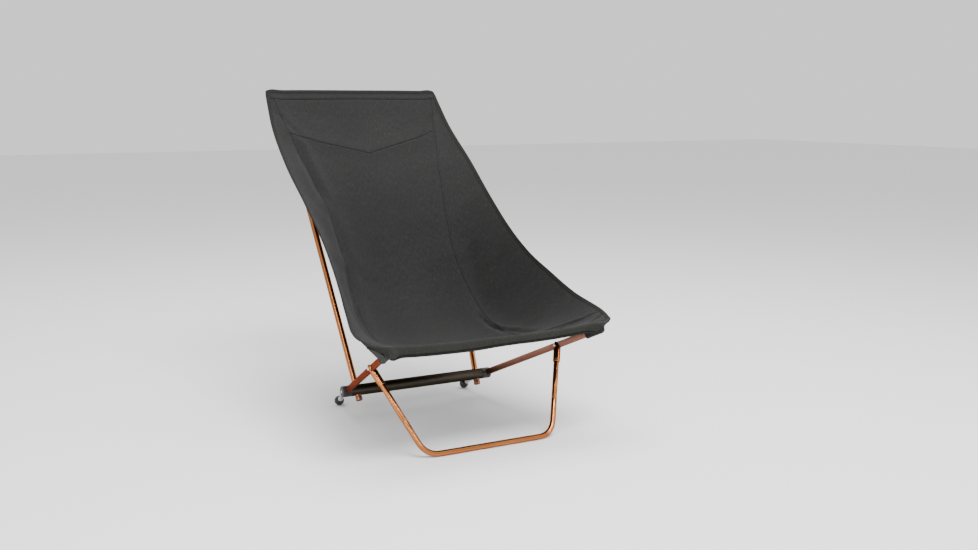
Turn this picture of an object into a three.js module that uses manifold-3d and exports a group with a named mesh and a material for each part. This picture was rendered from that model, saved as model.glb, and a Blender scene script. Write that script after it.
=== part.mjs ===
// A low camping chair: a sling of fabric hung between two back poles and two seat rails.
// Millimetres. +Z is up, the chair faces -Y, and X = 0 is its plane of symmetry.
// The origin is on the ground under the middle of the whole chair. The sizes below are written
// from the crossbar's axis, at Y = 0 until the last section moves the chair to its origin.
// "left" is the sitter's left, at +X.
import * as THREE from "three";
import { mergeVertices } from "three/addons/utils/BufferGeometryUtils.js";
import Module from "manifold-3d";

const wasm = await Module();
wasm.setup();

// ---- driving dimensions -------------------------------------------------------------------

const GAP = 0.3; // left between pieces that touch
const CROSSBAR_BEHIND_ORIGIN = -2.1; // brings the middle of the chair's depth to Y = 0

// crossbar, the hub of the frame
const CROSSBAR_HEIGHT = 58;
const CROSSBAR_RADIUS = 13.5;
const CROSSBAR_BORE = 11.7;
const CROSSBAR_HALF = 176.5;
const HUB_OUTER_END = 200;
const HUB_SPIGOT_END = 170.5;
const HUB_SPIGOT_RADIUS = 9.5;

// seat rails: flat bars from the ball feet up to the front corners of the seat
const RAIL_AT_CROSSBAR = new THREE.Vector3(188, 0, CROSSBAR_HEIGHT);
const RAIL_FRONT = new THREE.Vector3(256, -413, 244);
const RAIL_HEIGHT = 15;
const RAIL_THICKNESS = 6;
const RAIL_REAR_REACH = 20; // beyond the crossbar's axis
const BALL_RADIUS = 12;
const BALL_REACH = 98; // from the crossbar's axis to the ball's centre
const BALL_PAD = 0.5; // depth of the flat worn under the ball
const STUD_RADIUS = 1.9;

// front leg: a U of round tube, hinged on the rails
const LEG_PIVOT = new THREE.Vector3(232.9, -272.4, 181);
const LEG_RADIUS = 6.2;
const LEG_SIDES = 12;
const LEG_FLAT = LEG_RADIUS * Math.cos(Math.PI / LEG_SIDES); // from its axis to its lowest facet
const BAR_WEAR = 0.12; // off the bar's lowest facet, which leaves one true flat on the ground
const LEG_CORNER = new THREE.Vector3(155, -377, LEG_FLAT - BAR_WEAR);
const LEG_BORE = 4.9;
const LEG_BEND = 34; // length taken from each straight by a bottom bend
const LEG_JOINT = 0.61; // share of the limb above the joint with the U
const LEG_FOLD_DEG = 65;
const SLEEVE_RADIUS = 8.3;
const SLEEVE_BELOW = 42;
const SLEEVE_FLOOR = 28;
const RIVET_RADIUS = 2.5;
const SPOT_FACE = 7.4; // from the middle of the fork to the flats under the rivet's heads

// back poles: round tube in two sections, the upper one gently bent back
const POLE_AT_CROSSBAR = new THREE.Vector3(161, 0, CROSSBAR_HEIGHT);
const POLE_SLOPE = new THREE.Vector3(0.074, 0.536, 1);
const POLE_RADIUS = 7;
const POLE_BORE = 6.1;
const POLE_JOINT_RISE = 397; // height of the joint above the crossbar
const POLE_BEND_RISE = 150; // height of the bend's control point above the joint
const POLE_TIP = new THREE.Vector3(224, 413, 757);
const FOOT_CAP_END = 27; // below the crossbar's axis, along the pole

// sling
const CLOTH = 1.6; // thickness of a panel with its seam allowances
const HEM = 4;
const FRONT_HEM_DROP = 24;
const BINDING_RADIUS = 2.7;
const SEAT_START = 0.53; // where the back panels end and the seat panels start, from top to front

// The three lines that the sling hangs on, from the top hem to the front hem.
const EDGE_LINE = [
  [241, 403, 766], [250, 320, 672], [254, 205, 585], [249, 93, 506], [247, -15, 433],
  [254, -103, 378], [268, -185, 337], [284, -262, 300], [301, -345, 274], [288, -408, 261],
];
const SEAM_LINE = [
  [230, 404, 768], [203, 322, 660], [176, 236, 557], [158, 166, 464], [148, 104, 372],
  [152, 34, 288], [157, -66, 218], [160, -186, 200], [162, -308, 224], [165, -403, 252],
];
const CENTRE_LINE = [
  [0, 408, 770], [0, 324, 659], [0, 248, 560], [0, 186, 460], [0, 124, 356],
  [0, 46, 262], [0, -58, 196], [0, -186, 182], [0, -310, 210], [0, -400, 250],
];

// ---- materials ----------------------------------------------------------------------------

const finish = (color, roughness, metalness) => () =>
  new THREE.MeshStandardMaterial({ color, roughness, metalness });
const copper = finish(0xb4673a, 0.3, 1);
const railCopper = finish(0x8a5a40, 0.45, 0.9);
const gunmetal = finish(0x3a342c, 0.4, 0.9);
const steel = finish(0xb9b9b4, 0.35, 1);
const black = finish(0x17171a, 0.4, 0);
const cloth = finish(0x3d3d3f, 0.9, 0);
const trim = finish(0x1d1f19, 0.85, 0);
const elastic = finish(0x2a2a2a, 0.8, 0);

// ---- geometry helpers ---------------------------------------------------------------------

const X_AXIS = new THREE.Vector3(1, 0, 0);
const Z_AXIS = new THREE.Vector3(0, 0, 1);

function piece(name, geometry, material) {
  const mesh = new THREE.Mesh(geometry, material());
  mesh.name = name;
  return mesh;
}

// The point a distance from start on the way to end.
function toward(start, end, distance) {
  const way = end.clone().sub(start).normalize();
  return start.clone().addScaledVector(way, distance);
}

// Turns a mesh's local Z axis from start towards end, with its origin at start.
function aim(mesh, start, end) {
  mesh.position.copy(start);
  mesh.quaternion.setFromUnitVectors(Z_AXIS, end.clone().sub(start).normalize());
  return mesh;
}

// Turns a mesh's local Z along a direction with its local X kept level.
function aimLevel(mesh, start, direction) {
  const level = new THREE.Vector3().crossVectors(direction, Z_AXIS).normalize();
  const up = new THREE.Vector3().crossVectors(direction, level);
  mesh.position.copy(start);
  mesh.quaternion.setFromRotationMatrix(new THREE.Matrix4().makeBasis(level, up, direction));
  return mesh;
}

// A solid turned round Z. The profile is [radius, z] pairs and starts and ends on the axis, or closes.
function turned(profile, sides) {
  const points = profile.map(([radius, z]) => new THREE.Vector2(radius, z));
  return new THREE.LatheGeometry(points, sides).rotateX(Math.PI / 2);
}

function rod(radius, low, high, sides = 12) {
  return turned([[0, low], [radius, low], [radius, high], [0, high]], sides);
}

function pipe(radius, bore, low, high, sides = 16) {
  const wall = [[bore, low], [radius, low], [radius, high], [bore, high], [bore, low]];
  return turned(wall, sides);
}

function circleLoop(radius, sides) {
  return Array.from({ length: sides }, (_, i) => {
    const angle = ((i + 0.5) * 2 * Math.PI) / sides;
    return new THREE.Vector2(radius * Math.cos(angle), radius * Math.sin(angle));
  });
}

// A round tube along a curve, hollow where a bore is given.
function bentTube(curve, steps, radius, bore = 0, sides = 12) {
  const shape = new THREE.Shape(circleLoop(radius, sides));
  if (bore) shape.holes.push(new THREE.Path(circleLoop(bore, sides)));
  return new THREE.ExtrudeGeometry(shape, { steps, extrudePath: curve, bevelEnabled: false });
}

// ---- cutting and joining ------------------------------------------------------------------

function solid(mesh) {
  mesh.updateMatrix();
  const bare = mesh.geometry.clone().applyMatrix4(mesh.matrix);
  bare.deleteAttribute("normal");
  bare.deleteAttribute("uv");
  const merged = mergeVertices(bare, 1e-4);
  return new wasm.Manifold(new wasm.Mesh({
    numProp: 3,
    vertProperties: new Float32Array(merged.attributes.position.array),
    triVerts: new Uint32Array(merged.index.array),
  }));
}

function geometryOf(manifold) {
  const { vertProperties, triVerts } = manifold.getMesh();
  const geometry = new THREE.BufferGeometry();
  geometry.setAttribute("position", new THREE.BufferAttribute(new Float32Array(vertProperties), 3));
  geometry.setIndex(new THREE.BufferAttribute(new Uint32Array(triVerts), 1));
  geometry.computeVertexNormals();
  return geometry;
}

function cut(body, tools) {
  return geometryOf(tools.reduce((left, tool) => left.subtract(solid(tool)), solid(body)));
}

function join(bodies) {
  const [first, ...rest] = bodies.map(solid);
  return geometryOf(rest.reduce((sum, next) => sum.add(next), first));
}

const stock = (geometry) => new THREE.Mesh(geometry);

// A rod lying along X, centred on a point.
function crossRod(radius, centre, reach, sides = 12) {
  const mesh = stock(rod(radius, -reach, reach, sides));
  return aim(mesh, centre, centre.clone().add(X_AXIS));
}

// ---- lines of the frame -------------------------------------------------------------------

const railWay = RAIL_FRONT.clone().sub(RAIL_AT_CROSSBAR).normalize();
const railRear = RAIL_AT_CROSSBAR.clone().addScaledVector(railWay, -RAIL_REAR_REACH);
const railLength = RAIL_FRONT.distanceTo(railRear);
const ballCentre = RAIL_AT_CROSSBAR.clone().addScaledVector(railWay, -BALL_REACH);
ballCentre.z = BALL_RADIUS - BALL_PAD;

const poleWay = POLE_SLOPE.clone().normalize();
const poleFoot = POLE_AT_CROSSBAR.clone().addScaledVector(poleWay, -FOOT_CAP_END);
const poleJoint = POLE_AT_CROSSBAR.clone().addScaledVector(POLE_SLOPE, POLE_JOINT_RISE);
const poleBend = poleJoint.clone().addScaledVector(POLE_SLOPE, POLE_BEND_RISE);
const upperPole = new THREE.QuadraticBezierCurve3(poleJoint, poleBend, POLE_TIP);

const limbLength = LEG_PIVOT.distanceTo(LEG_CORNER);
const limbJoint = toward(LEG_PIVOT, LEG_CORNER, LEG_JOINT * limbLength);

// A bar of the rail's section, wider all round by the clearance.
function railBar(clearance, start = railRear, length = railLength) {
  const thick = RAIL_THICKNESS + 2 * clearance;
  const tall = RAIL_HEIGHT + 2 * clearance;
  const bar = new THREE.BoxGeometry(thick, tall, length).translate(0, 0, length / 2);
  return aimLevel(stock(bar), start, railWay);
}

// ---- crossbar, hubs and rails -------------------------------------------------------------

function crossbarTube() {
  const middle = new THREE.Vector3(0, 0, CROSSBAR_HEIGHT);
  const tube = stock(pipe(CROSSBAR_RADIUS, CROSSBAR_BORE, -CROSSBAR_HALF, CROSSBAR_HALF, 28));
  aim(tube, middle, middle.clone().add(X_AXIS));
  const poleBore = (sign) => {
    const way = poleWay.clone();
    way.x *= sign;
    const start = new THREE.Vector3(sign * POLE_AT_CROSSBAR.x, 0, CROSSBAR_HEIGHT);
    const bore = stock(rod(POLE_RADIUS + GAP, -30, 30, 16));
    return aim(bore, start, start.clone().add(way));
  };
  return piece("crossbar_tube", cut(tube, [poleBore(1), poleBore(-1)]), gunmetal);
}

// The hub carries the rail through its slot and turns in the crossbar on its spigot.
function railHub(side) {
  const start = new THREE.Vector3(0, 0, CROSSBAR_HEIGHT);
  const profile = [
    [0, HUB_SPIGOT_END], [HUB_SPIGOT_RADIUS, HUB_SPIGOT_END],
    [HUB_SPIGOT_RADIUS, CROSSBAR_HALF + 0.5], [CROSSBAR_RADIUS, CROSSBAR_HALF + 0.5],
    [CROSSBAR_RADIUS, HUB_OUTER_END - 2], [CROSSBAR_RADIUS - 2, HUB_OUTER_END], [0, HUB_OUTER_END],
  ];
  const body = aim(stock(turned(profile, 28)), start, start.clone().add(X_AXIS));
  const screwHole = crossRod(2.3, new THREE.Vector3(192, 0, CROSSBAR_HEIGHT), 10);
  const slot = railBar(GAP, RAIL_AT_CROSSBAR.clone().addScaledVector(railWay, -40), 80);
  return piece(`${side}_rail_hub`, cut(body, [slot, screwHole]), black);
}

function hubBearing(side) {
  const ring = pipe(CROSSBAR_BORE - 0.4, HUB_SPIGOT_RADIUS + GAP, 0.2, 5.8, 20);
  const mesh = piece(`${side}_hub_bearing`, ring, black);
  const start = new THREE.Vector3(HUB_SPIGOT_END, 0, CROSSBAR_HEIGHT);
  return aim(mesh, start, start.clone().add(X_AXIS));
}

function hubScrew(side) {
  const screw = turned([[0, -17.5], [2, -17.5], [2, GAP], [4, GAP], [3.6, 1.6], [2.4, 2.3], [0, 2.3]], 12);
  const start = new THREE.Vector3(HUB_OUTER_END, 0, CROSSBAR_HEIGHT);
  return aim(piece(`${side}_hub_screw`, screw, steel), start, start.clone().add(X_AXIS));
}

function seatRail(side) {
  const screwHole = crossRod(2.3, RAIL_AT_CROSSBAR, 12);
  const pivotHole = crossRod(RIVET_RADIUS + 0.4, LEG_PIVOT, 12);
  const studHole = aim(stock(rod(STUD_RADIUS + GAP, -13, 6, 10)), railRear, ballCentre);
  const holes = [screwHole, pivotHole, studHole];
  return piece(`${side}_seat_rail`, cut(railBar(0), holes), railCopper);
}

function railTipCap(side) {
  const depth = 16;
  const outer = new THREE.BoxGeometry(RAIL_THICKNESS + 3.4, RAIL_HEIGHT + 3.4, depth);
  outer.translate(0, 0, depth / 2);
  const start = toward(RAIL_FRONT, railRear, depth - 2.3);
  const shell = aimLevel(stock(outer), start, railWay);
  const socket = railBar(GAP, railRear, railLength + GAP);
  return piece(`${side}_rail_tip_cap`, cut(shell, [socket]), black);
}

// A turned stem screwed into the rail's rear end and into the ball.
function footStem(side) {
  const span = railRear.distanceTo(ballCentre);
  const shoulder = span - BALL_RADIUS;
  const profile = [
    [0, -11], [STUD_RADIUS, -11], [STUD_RADIUS, GAP], [3.6, GAP], [3.6, shoulder - 9],
    [5.8, shoulder - 7], [5.8, shoulder - 0.6], [2.6, shoulder - 0.2], [2.6, span - 2], [0, span - 2],
  ];
  return aim(piece(`${side}_foot_stem`, turned(profile, 14), steel), railRear, ballCentre);
}

function ballFoot(side) {
  const ball = stock(new THREE.SphereGeometry(BALL_RADIUS, 20, 14).rotateX(Math.PI / 2));
  ball.position.copy(ballCentre);
  const ground = stock(new THREE.BoxGeometry(40, 40, 10));
  ground.position.set(ballCentre.x, ballCentre.y, -5);
  const bore = aim(stock(rod(2.9, -1.5, 20, 10)), ballCentre, railRear);
  const seat = aim(stock(rod(6.1, BALL_RADIUS - 1.6, BALL_RADIUS + 6, 14)), ballCentre, railRear);
  return piece(`${side}_ball_foot`, cut(ball, [bore, seat, ground]), black);
}

// ---- back poles ---------------------------------------------------------------------------

function lowerBackPole(side) {
  const tube = pipe(POLE_RADIUS, POLE_BORE, 3 + GAP, poleFoot.distanceTo(poleJoint) - GAP / 2);
  return aim(piece(`${side}_lower_back_pole`, tube, copper), poleFoot, poleJoint);
}

function upperBackPole(side) {
  return piece(`${side}_upper_back_pole`, bentTube(upperPole, 14, POLE_RADIUS, POLE_BORE, 14), copper);
}

function poleFootCap(side) {
  const cup = turned([
    [0, 0], [6.6, 0], [8, 1.6], [8, 12.6], [POLE_RADIUS + GAP, 12.6], [POLE_RADIUS + GAP, 3], [0, 3],
  ], 16);
  return aim(piece(`${side}_pole_foot_cap`, cup, railCopper), poleFoot, poleJoint);
}

// The spigot inside the joint of the two pole sections.
function poleFerrule(side) {
  const mesh = piece(`${side}_pole_ferrule`, pipe(POLE_BORE - 0.45, 4.6, -34, 22, 12), steel);
  return aim(mesh, poleJoint, poleBend);
}

function poleTopCap(side) {
  const plug = turned([
    [0, -12], [POLE_BORE - 0.5, -12], [POLE_BORE - 0.5, GAP], [POLE_RADIUS + 0.4, GAP],
    [POLE_RADIUS + 0.4, 3], [5, 6.4], [0, 7.6],
  ], 14);
  return aim(piece(`${side}_pole_top_cap`, plug, black), POLE_TIP, POLE_TIP.clone().add(upperPole.getTangent(1)));
}

// The stretch cord that keeps the two sections together runs inside them, knotted at both ends.
function shockCord(side) {
  const path = new THREE.CatmullRomCurve3([
    poleFoot.clone().addScaledVector(poleWay, 4),
    POLE_AT_CROSSBAR.clone().addScaledVector(poleWay, 200),
    poleJoint,
    upperPole.getPoint(0.35),
    upperPole.getPoint(0.7),
    upperPole.getPoint(0.94),
  ]);
  return piece(`${side}_pole_shock_cord`, bentTube(path, 20, 1.3, 0, 6), elastic);
}

// ---- front leg ----------------------------------------------------------------------------

// The forked sleeve straddles the rail. Its fork is cleared by the rail at every angle of the fold.
function legSleeve(side) {
  const reach = SLEEVE_BELOW;
  const profile = [
    [0, -6], [SLEEVE_RADIUS, -6], [SLEEVE_RADIUS, reach - 1], [SLEEVE_RADIUS - 0.8, reach], [0, reach],
  ];
  const shank = aim(stock(turned(profile, 20)), LEG_PIVOT, LEG_CORNER);
  const dome = stock(new THREE.SphereGeometry(SLEEVE_RADIUS, 16, 10));
  dome.position.copy(toward(LEG_PIVOT, LEG_CORNER, -2));
  const socket = aim(stock(rod(LEG_RADIUS + GAP, SLEEVE_FLOOR, reach + 4, 16)), LEG_PIVOT, LEG_CORNER);
  const rivetHole = crossRod(RIVET_RADIUS + GAP, LEG_PIVOT, 14);
  const spotFaces = [-1, 1].map((sign) => {
    const centre = LEG_PIVOT.clone().addScaledVector(X_AXIS, sign * (SPOT_FACE + 6));
    return crossRod(5.2, centre, 6, 14);
  });
  const fold = new THREE.Group();
  const cuts = [];
  for (let angle = 0; angle <= LEG_FOLD_DEG + 1; angle += 5.5) {
    const bar = railBar(0.45, toward(LEG_PIVOT, railRear, 60), 120);
    bar.position.sub(LEG_PIVOT);
    bar.updateMatrix();
    fold.rotation.set(THREE.MathUtils.degToRad(-angle), 0, 0);
    fold.position.copy(LEG_PIVOT);
    fold.updateMatrix();
    cuts.push(stock(bar.geometry.applyMatrix4(bar.matrix).applyMatrix4(fold.matrix)));
  }
  const body = stock(join([shank, dome]));
  return piece(`${side}_leg_sleeve`, cut(body, [socket, rivetHole, ...spotFaces, ...cuts]), copper);
}

function legRivet(side) {
  const half = SPOT_FACE + GAP;
  const head = (sign) => [
    [RIVET_RADIUS, sign * half], [4.6, sign * half], [4, sign * (half + 1.3)], [2.2, sign * (half + 2)],
  ];
  const profile = [[0, -half - 2], ...head(-1).reverse(), ...head(1), [0, half + 2]];
  const start = LEG_PIVOT.clone();
  return aim(piece(`${side}_leg_pivot_rivet`, turned(profile, 14), steel), start, start.clone().add(X_AXIS));
}

function upperLegTube(side) {
  const tube = pipe(LEG_RADIUS, LEG_BORE, SLEEVE_FLOOR + GAP, LEG_JOINT * limbLength - GAP, 14);
  return aim(piece(`${side}_upper_leg_tube`, tube, copper), LEG_PIVOT, LEG_CORNER);
}

// The lower limbs and the bar on the ground are one bent tube with a spigot at each end.
function frontLegBar() {
  const mirror = (p) => new THREE.Vector3(-p.x, p.y, p.z);
  const bendTop = toward(LEG_CORNER, limbJoint, LEG_BEND);
  const bendSide = toward(LEG_CORNER, mirror(LEG_CORNER), LEG_BEND);
  const path = new THREE.CurvePath();
  path.add(new THREE.LineCurve3(limbJoint, bendTop));
  path.add(new THREE.QuadraticBezierCurve3(bendTop, LEG_CORNER, bendSide));
  path.add(new THREE.LineCurve3(bendSide, mirror(bendSide)));
  path.add(new THREE.QuadraticBezierCurve3(mirror(bendSide), mirror(LEG_CORNER), mirror(bendTop)));
  path.add(new THREE.LineCurve3(mirror(bendTop), mirror(limbJoint)));
  const bar = stock(bentTube(path, 46, LEG_RADIUS, LEG_BORE, LEG_SIDES));
  const spigots = [limbJoint, mirror(limbJoint)].map((joint) => {
    const top = joint.x > 0 ? LEG_PIVOT : mirror(LEG_PIVOT);
    const spigot = turned([
      [3.4, -8], [LEG_BORE + 0.5, -8], [LEG_BORE + 0.5, -0.5], [LEG_BORE - GAP, -0.5],
      [LEG_BORE - GAP, 18], [3.4, 18], [3.4, -8],
    ], 12);
    return aim(stock(spigot), joint, top);
  });
  const ground = stock(new THREE.BoxGeometry(420, 60, 10));
  ground.position.set(0, LEG_CORNER.y, -5);
  return piece("front_leg_bar", cut(stock(join([bar, ...spigots])), [ground]), copper);
}

// ---- sling --------------------------------------------------------------------------------

const lineOf = (rows) =>
  new THREE.CatmullRomCurve3(rows.map((p) => new THREE.Vector3(...p)), false, "catmullrom", 0.5);
const edgeLine = lineOf(EDGE_LINE);
const seamLine = lineOf(SEAM_LINE);
const centreLine = lineOf(CENTRE_LINE);

// A point on the sling: u is 0 at the middle, 0.5 at the seam and 1 at the edge, v is 0 at the top.
function slingPoint(u, v) {
  const seam = seamLine.getPoint(v);
  const edge = edgeLine.getPoint(v);
  const across = [
    new THREE.Vector3(-edge.x, edge.y, edge.z), new THREE.Vector3(-seam.x, seam.y, seam.z),
    centreLine.getPoint(v), seam, edge,
  ];
  return new THREE.CatmullRomCurve3(across, false, "centripetal").getPoint((u + 1) / 2);
}

// Which way the back of the cloth faces at a point.
function slingNormal(u, v) {
  const small = 0.004;
  const [u0, u1] = [Math.max(u - small, -1), Math.min(u + small, 1)];
  const [v0, v1] = [Math.max(v - small, 0), Math.min(v + small, 1)];
  const across = slingPoint(u1, v).sub(slingPoint(u0, v));
  const down = slingPoint(u, v1).sub(slingPoint(u, v0));
  return across.cross(down).normalize();
}

// A closed panel of the sling between two u limits, from startAt(u) to endAt(u).
function panel(name, [u0, u1], startAt, endAt, [across, along], material, thickness = CLOTH) {
  const positions = [];
  const index = [];
  const stride = along + 1;
  for (const face of [-0.5, 0.5]) {
    for (let i = 0; i <= across; i += 1) {
      const u = u0 + ((u1 - u0) * i) / across;
      for (let j = 0; j <= along; j += 1) {
        const v = startAt(u) + ((endAt(u) - startAt(u)) * j) / along;
        const point = slingPoint(u, v).addScaledVector(slingNormal(u, v), face * thickness);
        positions.push(point.x, point.y, point.z);
      }
    }
  }
  const offset = (across + 1) * stride;
  const at = (i, j, back) => i * stride + j + (back ? offset : 0);
  const quad = (a, b, c, d) => index.push(a, b, c, a, c, d);
  for (let i = 0; i < across; i += 1) {
    for (let j = 0; j < along; j += 1) {
      quad(at(i, j, true), at(i + 1, j, true), at(i + 1, j + 1, true), at(i, j + 1, true));
      quad(at(i, j, false), at(i, j + 1, false), at(i + 1, j + 1, false), at(i + 1, j, false));
    }
  }
  for (let i = 0; i < across; i += 1) {
    quad(at(i, 0, false), at(i + 1, 0, false), at(i + 1, 0, true), at(i, 0, true));
    quad(at(i + 1, along, false), at(i, along, false), at(i, along, true), at(i + 1, along, true));
  }
  for (let j = 0; j < along; j += 1) {
    quad(at(0, j + 1, false), at(0, j, false), at(0, j, true), at(0, j + 1, true));
    quad(at(across, j, false), at(across, j + 1, false), at(across, j + 1, true), at(across, j, true));
  }
  const geometry = new THREE.BufferGeometry();
  geometry.setAttribute("position", new THREE.Float32BufferAttribute(positions, 3));
  geometry.setIndex(index);
  geometry.computeVertexNormals();
  return piece(name, geometry, material);
}

const HEM_END = 0.021; // top hem, as a share of the sling's length
const STEP = 0.0011; // gap between panels along the sling
const SEAM_STEP = 0.0025; // gap between panels across it
const yokeEnd = (u) => 0.165 - 0.055 * Math.min(Math.abs(u) / 0.45, 1);

function centrePanels() {
  const middle = [-0.5 + SEAM_STEP, 0.5 - SEAM_STEP];
  const flat = (v) => () => v;
  return [
    panel("top_hem", [-0.99, 0.99], flat(0), flat(HEM_END - STEP), [16, 1], trim, HEM),
    panel("headrest_yoke", middle, flat(HEM_END), (u) => yokeEnd(u) - STEP, [8, 4], cloth),
    panel("back_panel", middle, yokeEnd, flat(SEAT_START - STEP), [8, 9], cloth),
    panel("seat_panel", middle, flat(SEAT_START), flat(0.995), [8, 9], cloth),
  ];
}

function wingPanels(side) {
  const wing = [0.5 + SEAM_STEP, 0.985];
  return [
    panel(`${side}_back_wing`, wing, () => HEM_END, () => SEAT_START - STEP, [4, 11], cloth),
    panel(`${side}_seat_wing`, wing, () => SEAT_START, () => 0.995, [4, 9], cloth),
  ];
}

// The folded hem that hangs along the front of the seat.
function frontHem() {
  const half = 238;
  const shape = new THREE.Shape([
    new THREE.Vector2(-half, 0), new THREE.Vector2(half, 0), new THREE.Vector2(half, FRONT_HEM_DROP - 2),
    new THREE.Vector2(0, FRONT_HEM_DROP), new THREE.Vector2(-half, FRONT_HEM_DROP - 2),
  ]);
  const band = new THREE.ExtrudeGeometry(shape, { depth: HEM, bevelEnabled: false });
  const mesh = piece("front_hem", band, trim);
  mesh.rotation.x = Math.PI / 2;
  mesh.position.set(0, -405, CENTRE_LINE.at(-1)[2] - FRONT_HEM_DROP);
  return mesh;
}

// Bound edges of the sling, in an upper and a lower length.
function bindings(side) {
  const length = (name, from, to, steps) => {
    const points = Array.from({ length: steps + 1 }, (_, i) => {
      const v = from + ((to - from) * i) / steps;
      const edge = slingPoint(1, v);
      return toward(edge, slingPoint(0.9, v), -BINDING_RADIUS);
    });
    const path = new THREE.CatmullRomCurve3(points);
    return piece(name, bentTube(path, steps, BINDING_RADIUS, 0, 6), trim);
  };
  return [
    length(`${side}_back_binding`, 0.03, SEAT_START - STEP * 2, 22),
    length(`${side}_seat_binding`, SEAT_START + STEP * 2, 0.97, 20),
  ];
}

// The pocket behind a top corner, which the pole's tip pushes into.
function topPocket(side) {
  const inner = POLE_RADIUS + 1;
  const outer = inner + 1.4;
  const cup = turned([
    [inner, -44], [outer, -44], [outer, 5], [6, 10.4], [0, 11], [0, 9.4], [5.4, 8.8], [inner, 4.4], [inner, -44],
  ], 14);
  const tip = POLE_TIP.clone();
  return aim(piece(`${side}_top_pocket`, cup, trim), tip, tip.clone().add(upperPole.getTangent(1)));
}

// The pocket under a front corner, which the rail's tip pushes into.
function frontPocket(side) {
  const depth = 46;
  const outer = new THREE.BoxGeometry(RAIL_THICKNESS + 8, RAIL_HEIGHT + 8, depth).translate(0, 0, depth / 2);
  const shell = aimLevel(stock(outer), toward(RAIL_FRONT, railRear, depth - 5), railWay);
  const room = railBar(2.4, railRear, railLength + 3);
  return piece(`${side}_front_pocket`, cut(shell, [room]), trim);
}

// ---- assembly -----------------------------------------------------------------------------

const chair = new THREE.Group();
chair.position.y = CROSSBAR_BEHIND_ORIGIN;
chair.add(crossbarTube(), frontLegBar(), ...centrePanels(), frontHem());

for (const [side, sign] of [["left", 1], ["right", -1]]) {
  const half = new THREE.Group();
  half.scale.x = sign;
  half.add(
    railHub(side), hubBearing(side), hubScrew(side), seatRail(side), railTipCap(side),
    footStem(side), ballFoot(side),
    lowerBackPole(side), upperBackPole(side), poleFootCap(side), poleFerrule(side),
    poleTopCap(side), shockCord(side),
    legSleeve(side), legRivet(side), upperLegTube(side),
    ...wingPanels(side), ...bindings(side), topPocket(side), frontPocket(side),
  );
  chair.add(half);
}

export default chair;
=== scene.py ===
"""Finished model of a low camping chair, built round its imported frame.

The chair is a fabric sling hung between two back poles and two flat seat rails. Sizes are in
millimetres, measured from the crossbar's axis, and become metres when a mesh is made. +Z is up,
the chair faces -Y and the sitter's left is at +X.
"""
import logging
import math
from dataclasses import dataclass, field
from enum import Enum
from typing import Callable, Iterable, Sequence

import bmesh
import bpy
import numpy as np
from mathutils import Matrix, Vector


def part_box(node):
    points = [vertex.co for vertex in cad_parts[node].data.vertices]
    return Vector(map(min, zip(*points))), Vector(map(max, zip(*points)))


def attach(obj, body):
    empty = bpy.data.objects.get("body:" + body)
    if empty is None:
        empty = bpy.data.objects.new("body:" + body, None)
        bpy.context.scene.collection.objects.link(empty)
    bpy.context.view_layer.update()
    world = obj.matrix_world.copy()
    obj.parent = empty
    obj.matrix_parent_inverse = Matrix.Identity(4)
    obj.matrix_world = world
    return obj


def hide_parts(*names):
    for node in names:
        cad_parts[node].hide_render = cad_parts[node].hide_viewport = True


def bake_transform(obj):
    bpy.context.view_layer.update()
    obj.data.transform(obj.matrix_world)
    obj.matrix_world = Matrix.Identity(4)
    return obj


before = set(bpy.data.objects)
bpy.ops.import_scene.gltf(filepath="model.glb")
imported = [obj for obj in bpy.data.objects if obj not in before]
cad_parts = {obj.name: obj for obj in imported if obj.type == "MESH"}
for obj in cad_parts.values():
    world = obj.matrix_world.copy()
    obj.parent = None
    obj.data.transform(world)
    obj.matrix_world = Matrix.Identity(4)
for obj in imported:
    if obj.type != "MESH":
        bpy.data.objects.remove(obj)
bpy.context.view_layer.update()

log = logging.getLogger("chair")

MM = 0.001  # a millimetre in metres
GAP = 0.3  # clearance between fitted pieces, in millimetres
SEAM = 0.5  # place of the long seams across the sling, where its edge is 1
SHARP = 38.0  # angle in degrees past which an edge of a hard piece stays sharp
SHARP_TAPE = 50.0  # the same for tape
SHARP_CLOTH = 60.0  # the same for cloth
Array = np.ndarray
Colour = tuple[float, float, float]


class Side(Enum):
    """The two sides of the chair, as the sitter sees them."""

    LEFT = 1
    RIGHT = -1

    @property
    def label(self) -> str:
        """The word that starts the names of this side's pieces."""
        return self.name.lower()

    def flip(self, points: Array) -> Array:
        """Points of the left side, on this side."""
        return points * vec(self.value, 1, 1)


class Body(Enum):
    """The rigid bodies that pieces ride on."""

    SEAT = "seat"
    BACK = "back"
    LEG = "front_leg"


# ---- finishes ---------------------------------------------------------------------------------


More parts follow.
